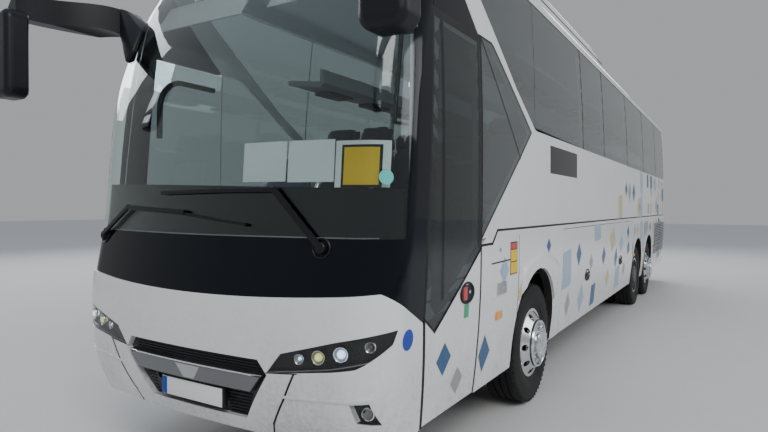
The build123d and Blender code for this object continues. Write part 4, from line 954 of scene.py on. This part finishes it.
# Where the mirror arms end (x, d, low z, high z), and where their feet lie on the windscreen's corner (x, d, z)
ARM_END = (
    (1.176, 0.432, 2.972, 3.186), (1.304, 0.648, 3.034, 3.221), (1.215, 0.402, 3.000, 3.200),
    (1.330, 0.606, 3.036, 3.222),
)
FOOT_SEAT = ((1.02, 0.33, 3.06), (1.17, 0.58, 3.13), (1.00, 0.31, 2.86), (1.13, 0.46, 2.80), (1.05, 0.36, 2.76))
MIRROR_BACK_D = -0.15


def build_mirror_feet():
    """The brackets that carry the mirror arms on the windscreen's upper corners."""
    bm = bmesh.new()
    for side in (1, -1):
        spots = [Vector((side * x, y_at(d), z)) for x, d, *ends in ARM_END for z in ends]
        for x, d, z in FOOT_SEAT:
            hit, facing = nearest(FRONT_TREE, (side * x, y_at(d), z))
            spots += [hit + facing * 0.002, hit + facing * 0.030]
        hull = bmesh.ops.convex_hull(bm, input=[bm.verts.new(spot) for spot in spots])
        unused = dict.fromkeys(hull["geom_interior"] + hull["geom_unused"])
        spare = [g for g in unused if isinstance(g, bmesh.types.BMVert) and g.is_valid]
        bmesh.ops.delete(bm, geom=spare, context="VERTS")
    sharp = [e for e in bm.edges if len(e.link_faces) == 2 and e.calc_face_angle(0) > 0.5]
    bevel_part(bm, sharp, 0.008, clamp_overlap=True)
    finish_piece("mirror_feet", bm, BLACK_MOULDING, crease=40)


def build_mirror_glass():
    panes, dividers = bmesh.new(), bmesh.new()
    back = y_at(MIRROR_BACK_D)
    for side in (1, -1):
        low, high = sorted((side * 1.422, side * 1.618))
        for bottom, top in ((2.62, 3.025), (2.475, 2.605)):
            corners = [(x, back - 0.003, z) for x, z in oblong(low, bottom, high, top)]
            plate_part(panes, corners, (0, 0.005, 0), 0.0015)
        box_part(dividers, (low, back - 0.004, 2.6065), (high, back + 0.001, 2.6185), 0.001)
    finish_piece("mirror_glass_panes", panes, MIRROR_SILVER)
    finish_piece("mirror_divider", dividers, BLACK_MOULDING)


# Door

DOOR_BOWL = (
    (-0.002, NEAR_ZERO), (-0.002, 0.072), (0.004, 0.073), (0.010, 0.068), (0.010, 0.062), (0.001, 0.056),
    (0.001, NEAR_ZERO),
)


def build_door_trim():
    wall = on_side(1)
    strips("door_seals", SEAL, wall, [
        ([(0.660, 0.445), (0.600, 1.070), (0.726, 2.875)], 0.022, 0.0002, 0.003),
        ([(1.432, 0.445), (1.432, 2.878)], 0.022, 0.0002, 0.003),
        ([(0.735, 2.878), (1.432, 2.878)], 0.014, 0.0002, 0.003),
        ([(0.604, 1.084), (0.740, 0.990), (1.432, 1.440)], 0.012, 0.0002, 0.003),
        ([(0.740, 2.862), (1.432, 2.864)], 0.056, 0.0002, 0.004),
    ], body="door")
    bands = [([(d, low), (d, 2.84)], 0.035, 0.0002, 0.0008) for d, low in ((0.83, 1.18), (1.395, 1.46))]
    strips("door_glass_bands", BLACK_GLOSS, wall, bands, body="door")
    centre = wall(1.200, 1.163)
    bm = bmesh.new()
    oval_part(bm, DOOR_BOWL, centre, (1, 0, 0), 44, 1.55)
    finish_piece("door_handle_bowl", bm, BLACK_MOULDING, "door")
    grip = (centre + Vector((0.001, -0.075, -0.044)), centre + Vector((0.010, -0.012, 0.044)), 0.004)
    blocks("door_handle_grip", SIGN_RED, [grip], body="door")
    bm = bmesh.new()
    rod_part(bm, centre + Vector((0.0, 0.030, 0.004)), centre + Vector((0.009, 0.030, 0.004)), 0.014, 0.012)
    finish_piece("door_handle_lock", bm, BRIGHT_METAL, "door")
    label = oblong(1.162, 1.000, 1.238, 1.086)
    sheet("door_small_label", SIGN_GREEN, wall, label, 0.0006, 2, 2, 0.0006, body="door")


# Livery

def long_panels(side, word):
    """Panels behind the front axle that carry lozenges: body, side, first and last d, lowest and highest z."""
    return [
        (f"flap_{word}_1", side, 3.645, 5.885, 0.45, 1.49), (f"flap_{word}_2", side, 5.92, 8.105, 0.45, 1.49),
        ("body", side, 3.62, 12.85, 1.52, 2.36), ("body", side, 8.14, 12.85, 0.45, 1.49),
    ]


PANELS = [
    ("door", 1, 0.62, 1.425, 0.45, 1.40), ("body", 1, 1.47, 3.60, 0.44, 2.35), *long_panels(1, "left"),
    ("body", -1, 0.68, 3.60, 0.44, 2.35), *long_panels(-1, "right"),
]

# Lozenges read off the near side: centre (d, z), half width, half height, turn in degrees
LOZENGES = (
    (STEEL_BLUE, 0.893, 0.794, 0.103, 0.103, 50), (WARM_GREY, 1.120, 0.606, 0.091, 0.091, 53),
    (STEEL_BLUE, 1.562, 0.683, 0.122, 0.134, 50), (BEIGE, 2.345, 1.020, 0.110, 0.108, 52),
    (PALE_BLUE, 1.905, 1.245, 0.100, 0.105, 50), (STEEL_BLUE, 3.105, 1.365, 0.075, 0.070, 50),
    (PALE_BLUE, 3.800, 1.080, 0.200, 0.210, 4), (STEEL_BLUE, 4.325, 1.200, 0.120, 0.125, 50),
    (WARM_GREY, 3.930, 0.700, 0.105, 0.135, 54), (PALE_BLUE, 4.550, 0.680, 0.150, 0.165, 50),
    (WARM_GREY, 4.980, 1.060, 0.100, 0.100, 48), (STEEL_BLUE, 5.210, 0.640, 0.130, 0.140, 3),
    (STEEL_BLUE, 5.745, 1.085, 0.125, 0.125, 52), (BEIGE, 6.100, 0.760, 0.130, 0.125, 50),
    (BEIGE, 6.360, 1.270, 0.250, 0.180, 35), (PALE_BLUE, 5.320, 1.400, 0.210, 0.100, 5),
    (STEEL_BLUE, 6.660, 0.995, 0.120, 0.147, 50), (PALE_BLUE, 7.080, 1.170, 0.200, 0.130, 40),
    (STEEL_BLUE, 7.776, 1.067, 0.110, 0.090, 20), (PALE_BLUE, 6.900, 0.690, 0.190, 0.170, 8),
    (WARM_GREY, 7.450, 0.760, 0.120, 0.120, 50), (TEAL, 7.700, 1.330, 0.120, 0.110, 45),
)
SCATTER_FINISHES = (PALE_BLUE, WARM_GREY, BEIGE, STEEL_BLUE, PALE_BLUE, BEIGE, TEAL, WARM_GREY)
SCATTER_HEIGHTS = (0.70, 1.02, 1.34, 1.72, 2.00, 2.24)
LEAST_LOZENGE = 0.07


def scattered_lozenges():
    """A seeded scatter of lozenges that thickens towards the rear."""
    pick = random.Random(23)
    table = []
    for column in range(15):
        for row, z in enumerate(SCATTER_HEIGHTS):
            d = 6.55 + column * 0.44 + pick.uniform(-0.12, 0.12)
            share = (0.9 if d > 8.1 else 0.0) if row < 3 else min(0.85, max(0.0, d - 6.3) * 0.16)
            if pick.random() > share:
                continue
            half = pick.uniform(0.10, 0.20)
            turn = pick.choice((50, 50, 45, 8, 4))
            finish, rise = pick.choice(SCATTER_FINISHES), pick.uniform(-0.05, 0.05)
            table.append((finish, d, z + rise, half, half * pick.uniform(0.95, 1.1), turn))
    return table


def lozenge_corners(d, z, wide, high, turn):
    """Nearly level ones are squares, the others stand on a corner."""
    first, reach = (45, 1.3) if turn < 30 else (40, 1.0)
    angles = [math.radians(turn + 90 * step + first) for step in range(4)]
    return [(d + wide * reach * math.cos(a), z + high * reach * math.sin(a)) for a in angles]


def near_arch(d, z):
    return any(math.hypot(d - axle, z - ARCH_Z) < ARCH_REACH for axle in AXLES.values())


def clear_of_arch(d, z):
    """Pushes a point that lies over a wheel arch out to the arch's edge."""
    for axle in AXLES.values():
        reach = math.hypot(d - axle, z - ARCH_Z)
        if reach < ARCH_REACH and z > 0.5:
            d, z = axle + (d - axle) * ARCH_REACH / reach, ARCH_Z + (z - ARCH_Z) * ARCH_REACH / reach
    return d, z


def build_livery():
    sheets = {}
    for finish, *sizes in [*LOZENGES, *scattered_lozenges()]:
        corners = lozenge_corners(*sizes)
        for body, side, d_low, d_high, z_low, z_high in PANELS:
            clipped = [(min(max(d, d_low), d_high), min(max(z, z_low), z_high)) for d, z in corners]
            if any(near_arch(*corner) for corner in clipped):
                clipped = [clear_of_arch(*corner) for corner in clipped]
            spread = [max(values) - min(values) for values in zip(*clipped)]
            middle = [sum(values) / 4 for values in zip(*clipped)]
            if min(spread) >= LEAST_LOZENGE and not near_arch(*middle):
                sheets.setdefault((finish, body, side), []).append(clipped)
    for (finish, body, side), shapes in sheets.items():
        bm = bmesh.new()
        for corners in shapes:
            draped_part(bm, quad_place(on_side(side), corners, 0.0008), 2, 6, 0.0006)
        finish_piece(f"lozenges_{finish.name}_{body}_{dict(SIDES)[side]}", bm, finish, body)


# Sides

LOCK_BOWL = (
    (-0.004, NEAR_ZERO), (-0.004, 0.072), (0.004, 0.072), (0.010, 0.066), (0.009, 0.058), (0.002, 0.050),
    (0.002, NEAR_ZERO),
)
SMALL_LOCK = ((-0.001, NEAR_ZERO), (-0.001, 0.018), (0.003, 0.017), (0.004, NEAR_ZERO))
# The brow over the front arch: angle round the wheel's centre, and the brow line's radius there
BROW = (
    (136, 0.60), (124, 0.755), (110, 0.715), (96, 0.700), (82, 0.718), (67, 0.755), (52, 0.830), (40, 0.905),
    (30, 0.74), (22, 0.60),
)
BROW_EDGE, BROW_LEAST, BROW_RISE = 0.5868, 0.592, 0.021
# The edging inside an arch: half width of its upright ends, how far they go down, and the arc's radius
EDGING_HALF, EDGING_DROP, EDGING_RADIUS = 0.5735, -0.16, 0.5832


def stud_corners(centre, length, height, side, proud):
    """Corners of a small block, from its half length and half height, that stands proud of a side wall."""
    x = sorted((centre.x - side * 0.004, centre.x + side * proud))
    return (x[0], centre.y - length, centre.z - height), (x[1], centre.y + length, centre.z + height)


def brow_radius(angle):
    for (high, far), (low, near) in zip(BROW, BROW[1:]):
        if low <= angle <= high:
            return near + (far - near) * (angle - low) / (high - low)
    return ARCH_REACH


def build_arch_trim(wall, word):
    """The flared brow over the front arch, and the black edging inside all three arches."""
    def flare(u, v):
        angle = BROW[0][0] + (BROW[-1][0] - BROW[0][0]) * u
        outer = max(brow_radius(angle), BROW_LEAST)
        share = max(0.0, (v - 0.2) / 0.8)
        radius = BROW_EDGE + (outer - BROW_EDGE) * share
        swell = min(1.0, (1 - share) / 0.25)
        rise = BROW_RISE * swell * swell * (3 - 2 * swell) * min(1.0, (outer - BROW_LEAST) / 0.10)
        turn = math.radians(angle)
        d, z = AXLES["front"] + radius * math.cos(turn), ARCH_Z + radius * math.sin(turn)
        return wall(d, z, -0.02 if v < 0.1 else 0.001 + rise)

    bm = bmesh.new()
    draped_part(bm, flare, 48, 16, 0.0015)
    finish_piece(f"arch_brow_{word}", bm, PAINT, crease=40)
    turns = [math.radians(176 - 172 * step / 36) for step in range(37)]
    arc = [(EDGING_RADIUS * math.cos(turn), EDGING_RADIUS * math.sin(turn)) for turn in turns]
    path = [(-EDGING_HALF, EDGING_DROP), (-EDGING_HALF, 0.0), *arc, (EDGING_HALF, 0.0), (EDGING_HALF, EDGING_DROP)]
    bm = bmesh.new()
    for axle in AXLES.values():
        def tunnel(u, v):
            d, z = between_rows(path, u)
            return wall(axle + d, ARCH_Z + z, -0.0006 - 0.075 * v)

        draped_part(bm, tunnel, len(path) - 1, 1, 0.001)
    finish_piece(f"arch_edging_{word}", bm, LINER_PLASTIC, crease=60)


def build_locks(wall, side, word):
    """The oval bowls with a lock on both luggage flaps, and the small locker's lock."""
    for index, d in ((1, 4.80), (2, 7.08)):
        centre = wall(d, 0.928)
        bm = bmesh.new()
        oval_part(bm, LOCK_BOWL, centre, (side, 0, 0.02), 36, 1.6)
        box_part(bm, *stud_corners(centre, 0.075, 0.017, side, 0.013), 0.005)
        finish_piece(f"flap_lock_bowl_{word}_{index}", bm, BLACK_MOULDING, f"flap_{word}_{index}")
        bm = bmesh.new()
        ends = [centre + Vector((side * proud, 0.05, 0)) for proud in (0.012, 0.0155)]
        rod_part(bm, *ends, 0.011, 0.010)
        finish_piece(f"flap_lock_core_{word}_{index}", bm, BRIGHT_METAL, f"flap_{word}_{index}")
    bm = bmesh.new()
    box_part(bm, *stud_corners(wall(1.852, 1.118), 0.090, 0.044, side, 0.010), 0.004)
    box_part(bm, *stud_corners(wall(1.870, 1.118), 0.050, 0.022, side, 0.015), 0.003)
    turned_part(bm, SMALL_LOCK, wall(1.809, 1.406), (side, 0, 0.02), 20)
    finish_piece(f"locker_lock_{word}", bm, ALUMINIUM)


def build_louvres(wall, word):
    """The engine bay's louvred panel ahead of the rear corner."""
    sheet(f"louvre_back_{word}", SEAL, wall, oblong(11.20, 0.75, 12.84, 1.39), 0.001, 6, 8, 0.001)
    runs = [
        ([(d, 0.765 + row * 0.0375) for d in (11.215, 12.0, 12.825)], 0.020, 0.009, 0.007, 0.4) for row in range(17)
    ]
    runs += [([(d, 0.75), (d, 1.39)], 0.012, 0.010, 0.008, 0.1) for d in (11.205, 11.75, 12.29, 12.835)]
    runs += [([(11.20, z), (12.84, z)], 0.012, 0.010, 0.008, 0.4) for z in (0.75, 1.39)]
    strips(f"louvre_slats_{word}", WARM_GREY, wall, runs, slot="grille_grey")


def build_side_trim():
    for side, word in SIDES:
        wall = on_side(side)
        start = [(1.455, 1.458), (1.645, 1.460), (1.747, 1.553)] if side > 0 else [(1.47, 1.553)]
        strips(f"side_seams_{word}", SEAL, wall, [
            (start + [(3.6, 1.553)], 0.018, 0.0002, 0.003, 0.2),
            ([(3.6, 1.553), (8.13, 1.554), (12.86, 1.555)], 0.018, 0.0002, 0.003, 0.4),
            ([(2.247, 0.475), (2.247, 1.23), (2.247, 1.50)], 0.008, 0.0002, 0.001),
            ([(1.640, 1.315), (2.025, 1.318)], 0.010, 0.0002, 0.002),
            ([(11.05, 0.47), (11.05, 1.50)], 0.005, 0.0002, 0.001),
        ])
        build_arch_trim(wall, word)
        sheet(f"side_display_{word}", BLACK_GLOSS, wall, oblong(3.13, 2.04, 4.18, 2.30), 0.0012, 6, 3, 0.002)
        markers = [stud_corners(wall(d, 0.92), 0.062, 0.030, side, 0.012) for d in (1.812, 8.35, 9.57, 11.02)]
        blocks(f"side_markers_{word}", AMBER, [(low, high, 0.006) for low, high in markers])
        build_locks(wall, side, word)
        build_louvres(wall, word)
    for name, material, corners, lift in (
        ("notice_back", BLACK_MOULDING, oblong(2.032, 1.196, 2.199, 1.452), 0.0006),
        ("notice_red", SIGN_RED, oblong(2.042, 1.395, 2.189, 1.443), 0.0014),
        ("notice_yellow_top", YELLOW_CARD, oblong(2.042, 1.300, 2.189, 1.388), 0.0014),
        ("notice_yellow_low", YELLOW_CARD, oblong(2.042, 1.205, 2.189, 1.292), 0.0014),
    ):
        sheet(name, material, on_side(1), corners, lift, 2, 3, 0.0006, slot="body_paint")


# Rear and roof

# Blocks on the rear's middle: name, finish, body, the height where the surface is read, half width, how far they reach
# in and out of it, low and high z, bevel
REAR_BLOCKS = (
    ("rear_plate", YELLOW_CARD, "engine_hatch", 1.80, 0.26, 0.001, 0.006, 1.70, 1.81, 0.002),
    ("hatch_grip", BLACK_MOULDING, "engine_hatch", 0.995, 0.11, 0.001, 0.010, 0.985, 1.012, 0.004),
    ("high_stop_lamp", RED_LENS, "body", 3.34, 0.18, 0.012, 0.004, 3.325, 3.355, 0.003),
)
# The edge of the two triangle panes behind the door
TRIANGLE_PANES = ((1.455, 2.893), (1.656, 2.893), (1.700, 2.877), (2.553, 2.352), (2.262, 2.128), (1.455, 1.517))
PANE_JOINTS = (4.49, 5.70, 7.56, 9.40, 11.25)


def build_rear():
    seams = [([(-reach, z), (0.0, z), (reach, z)], 0.008) for reach, z in ((1.0, 2.335), (1.05, 0.905))]
    strips("rear_seams", SEAL, on_rear, seams)
    rings, reflectors = bmesh.new(), []
    for side in (1, -1):
        for x, z, radius in ((1.075, 1.10, 0.062), (1.078, 1.28, 0.062), (1.085, 1.46, 0.058)):
            seat = nearest(REAR_TREE, on_rear(side * x, z))
            turned_part(rings, scaled(TAIL_RING, radius), *seat, 36)
            turned_part(rings, scaled(TAIL_CENTRE, radius), *seat, 28)
        hit, _ = nearest(REAR_TREE, on_rear(side * 0.93, 0.62))
        reflectors.append((hit + Vector((-0.07, -0.002, -0.022)), hit + Vector((0.07, 0.006, 0.022)), 0.003))
    finish_piece("tail_lamp_rings", rings, DARK_RED)
    blocks("rear_reflectors", RED_LENS, reflectors)
    panel = oblong(-0.62, 1.05, 0.62, 1.52)
    sheet("hatch_louvre_back", SEAL, on_rear, panel, 0.001, 8, 4, 0.001, body="engine_hatch")
    slats = [([(x, 1.07 + row * 0.036) for x in (-0.61, 0.0, 0.61)], 0.020, 0.002, 0.004, 0.2) for row in range(13)]
    strips("hatch_louvre_slats", WARM_GREY, on_rear, slats, body="engine_hatch", slot="grille_grey")
    for name, material, body, z, half, inward, outward, low, high, bevel in REAR_BLOCKS:
        y = on_rear(0.0, z).y
        blocks(name, material, [((-half, y - inward, low), (half, y + outward, high), bevel)], body=body)


def build_roof():
    blocks("roof_hatches", PLATE_WHITE, [
        ((-half, y_at(d) - half, low), (half, y_at(d) + half, high), bevel)
        for d in (7.2, 10.4) for half, low, high, bevel in ((0.36, 3.722, 3.768, 0.016), (0.30, 3.766, 3.782, 0.007))
    ])
    gutters, joints = bmesh.new(), bmesh.new()
    for side in (1, -1):
        wall = on_side(side)
        line_part(gutters, wall, [(d, 3.503) for d in (0.80, 6.0, 12.86)], 0.012, 0.0003, 0.002, 0.4)
        line_part(joints, wall, [(2.652, 2.392), (2.700, 3.495)], 0.010, 0.0002, 0.002, 0.2)
        if side > 0:
            for points in (TRIANGLE_PANES, [(1.455, 2.885), (2.262, 2.112)]):
                line_part(joints, wall, points, 0.014, 0.0002, 0.003, 0.1)
        line_part(joints, wall, [(1.660, 3.642), (5.880, 3.642)], 0.012, 0.0, 0.003, 0.4)
        for d in PANE_JOINTS:
            line_part(joints, wall, [(d, 2.385), (d, 3.495)], 0.014, 0.0016, 0.0015, 0.05)
    finish_piece("roof_gutter_seams", gutters, SEAL)
    finish_piece("pane_joints", joints, SEAL)


# Cabin

SEAT_ROWS, SEAT_PITCH, PLATFORM_Z = 12, 0.8, 1.42
# Each single seat: x, its front edge behind the nose, floor height, width; the driver's comes last
SEATS = [
    (side * x, 2.3 + row * SEAT_PITCH, PLATFORM_Z, 0.425)
    for row in range(SEAT_ROWS) for side in (1, -1) for x in (0.505, 0.945)
] + [(-0.63, 1.05, 1.0, 0.49)]
SEAT_LEAN = math.atan2(0.165, 0.74)
DIAL = ((0.0, NEAR_ZERO), (0.0, 0.062), (0.005, 0.066), (0.006, 0.060), (0.001, 0.056), (0.001, NEAR_ZERO))
# Bent rails: name, finish, slot, radius, then points as x, d, z
RAILS = (
    ("cab_curved_rail", BLACK_MOULDING, "black_plastic", 0.022,
     ((-1.14, 1.25, 2.72), (-1.10, 0.80, 2.71), (-1.06, 0.645, 2.56), (-1.06, 0.64, 2.24))),
    ("stair_rail", ALUMINIUM, "door_linkage", 0.016,
     ((0.345, 1.50, 1.001), (0.345, 1.50, 1.90), (0.345, 0.80, 1.90), (0.345, 0.80, 1.001))),
)
# Rods of the grab bar beside the door: two ends as x, d, z, and the radius
GRAB_RODS = (
    ((1.10, 0.62, 2.72), (1.10, 0.545, 2.20), 0.014), ((1.10, 0.545, 2.20), (1.16, 0.60, 2.19), 0.010),
    ((1.10, 0.62, 2.72), (1.16, 0.66, 2.73), 0.010),
)


def cushion_part(bm, width, length, thickness, crown, place):
    """A crowned pad: a cube divided, its faces pushed out at the middle and its corners drawn in."""
    part = bmesh.new()
    bmesh.ops.create_cube(part, size=1, matrix=Matrix.Diagonal((width, length, thickness, 1)))
    bmesh.ops.subdivide_edges(part, edges=part.edges[:], cuts=5, use_grid_fill=True)
    for vert in part.verts:
        u, v, w = vert.co.x / width * 2, vert.co.y / length * 2, vert.co.z / thickness * 2
        draw_in = (1 - 0.07 * (u * v) ** 2) * (1 - 0.05 * abs(w) ** 3)
        bulge = (1 - u**4) * (1 - v**4) * (abs(w) > 0.9)
        vert.co = Vector((
            vert.co.x * draw_in, vert.co.y * draw_in,
            vert.co.z * (1 - 0.30 * (u**6 + v**6) / 2) + math.copysign(crown, w) * bulge,
        ))
    bmesh.ops.smooth_vert(part, verts=part.verts, factor=0.4, use_axis_x=True, use_axis_y=True, use_axis_z=True)
    bmesh.ops.transform(part, matrix=place, verts=part.verts)
    merge_part(bm, part)


def build_seats():
    cushions, backs, heads, shells = (bmesh.new() for _ in range(4))
    level = Matrix.Rotation(math.radians(-2), 4, "X")
    leaning = Matrix.Rotation(-SEAT_LEAN, 4, "X") @ Matrix.Rotation(math.pi / 2, 4, "X")
    for x, d, floor, width in SEATS:
        base, half = Vector((x, y_at(d), floor)), width / 2
        for bm, wide, length, thickness, crown, back, up, turn in (
            (cushions, width, 0.44, 0.10, 0.014, 0.24, 0.375, level),
            (backs, width, 0.56, 0.075, 0.012, 0.535, 0.70, leaning),
            (heads, width * 0.80, 0.17, 0.070, 0.010, 0.594, 1.05, leaning),
        ):
            place = Matrix.Translation(base + Vector((0, back, up))) @ turn
            cushion_part(bm, wide, length, thickness, crown, place)
        outline = ((0.50, 0.36), (0.543, 0.36), (0.648, 1.10), (0.615, 1.11))
        plate_part(shells, [base + Vector((0.01 - half, u, v)) for u, v in outline], (width - 0.02, 0, 0), 0.006)
        for low, high, bevel in (
            ((-half, 0.02, 0.295), (half, 0.46, 0.32), 0.006), ((-0.02, 0.34, 0.001), (0.02, 0.42, 0.30), 0.004),
            ((half - 0.012, 0.16, 0.55), (half + 0.012, 0.50, 0.585), 0.008),
        ):
            box_part(shells, base + Vector(low), base + Vector(high), bevel)
    for name, bm, material in (
        ("seat_cushions", cushions, SEAT_CLOTH), ("seat_backs", backs, SEAT_CLOTH),
        ("seat_headrests", heads, HEAD_CLOTH),
    ):
        pad = finish_piece(name, bm, material, crease=60)
        if name == "seat_cushions":
            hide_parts("seats")
    finish_piece("seat_shells", shells, DASH_PLASTIC)


def build_cab():
    blocks("instrument_hood", DASH_PLASTIC, [
        ((-0.90, y_at(0.38), 1.49), (-0.34, y_at(0.56), 1.60), 0.03),
        ((-0.28, y_at(0.36), 1.40), (0.06, y_at(0.53), 1.56), 0.02),
    ])
    bm = bmesh.new()
    for x in (-0.73, -0.51):
        turned_part(bm, DIAL, (x, y_at(0.562), 1.545), (0, 1, 0.1), 32)
    box_part(bm, (-0.23, y_at(0.530), 1.43), (0.01, y_at(0.536), 1.545), 0.003)
    finish_piece("instrument_dials", bm, BLACK_GLOSS)
    for name, material, slot, radius, points in RAILS:
        bm = bmesh.new()
        pipe_part(bm, rounded_path([(x, y_at(d), z) for x, d, z in points], 0.10), radius)
        finish_piece(name, bm, material, slot=slot)
    bm = bmesh.new()
    for start, end, radius in GRAB_RODS:
        rod_part(bm, *((x, y_at(d), z) for x, d, z in (start, end)), radius)
    finish_piece("pillar_grab_bar", bm, BLACK_MOULDING)
    bm = bmesh.new()
    for low, high in ((-1.0, -0.12), (0.12, 1.0)):
        corners = [(x, y_at(d), z) for x, d, z in (
            (low, 0.56, 3.02), (high, 0.56, 3.02), (high, 0.70, 3.24), (low, 0.70, 3.24)
        )]
        plate_part(bm, corners, (0, 0.012, -0.004), 0.003)
    finish_piece("sun_blinds", bm, PALE_TRIM)
    lamps = []
    for side in (1, -1):
        low, high = sorted((side * 0.84, side * 1.05))
        for row in range(SEAT_ROWS):
            d = 2.55 + row * SEAT_PITCH
            lamps.append(((low, y_at(d), 2.885), (high, y_at(d + 0.42), 2.918), 0.004))
    blocks("reading_lamp_panels", DASH_PLASTIC, lamps)


# The studio and the whole coach

def build_stage():
    bm = bmesh.new()
    bmesh.ops.create_grid(bm, x_segments=1, y_segments=1, size=60)
    mesh = bpy.data.meshes.new("floor")
    bm.to_mesh(mesh)
    bm.free()
    mesh.materials.append(grained("studio_floor", (0.62, 0.62, 0.61), (0.66, 0.66, 0.65), 0.75, 40, 0.05))
    floor = add_object("floor", mesh)
    world = bpy.data.worlds.new("studio")
    world.use_nodes = True
    tree = world.node_tree
    ground = tree.nodes["Background"]
    place = put(tree, "ShaderNodeTexCoord").outputs["Generated"]
    height = put(tree, "ShaderNodeSeparateXYZ", [(place, 0)]).outputs["Z"]
    sky = put(tree, "ShaderNodeValToRGB", [(height, 0)])
    low, high = sky.color_ramp.elements
    low.position, low.color = 0.45, (0.60, 0.615, 0.63, 1)
    high.position, high.color = 0.9, (0.74, 0.83, 0.97, 1)
    tree.links.new(sky.outputs[0], ground.inputs["Color"])
    ground.inputs["Strength"].default_value = 0.66
    bpy.context.scene.world = world
    soft_light("key_light", (9, -13, 11), (0, -3, 1), 8, 6, 1050, (1, 0.99, 0.97))
    soft_light("side_light", (14, 2, 7), (0, 1, 1), 14, 5, 560, (0.94, 0.97, 1))
    soft_light("fill_light", (-16, -1, 9), (0, -1, 1), 16, 6, 950, (0.93, 0.96, 1))
    soft_light("back_light", (-4, 14, 9), (0, 4, 2), 10, 5, 700)


def main():
    aim_camera()
    build_stage()
    dress_cad_nodes()
    build_wheels()
    build_lamps()
    build_front_trim()
    build_grille()
    build_screen_border()
    build_screen_foot()
    build_cards()
    build_wipers()
    build_mirror_feet()
    build_mirror_glass()
    build_door_trim()
    build_side_trim()
    build_livery()
    build_rear()
    build_roof()
    build_seats()
    build_cab()


main()
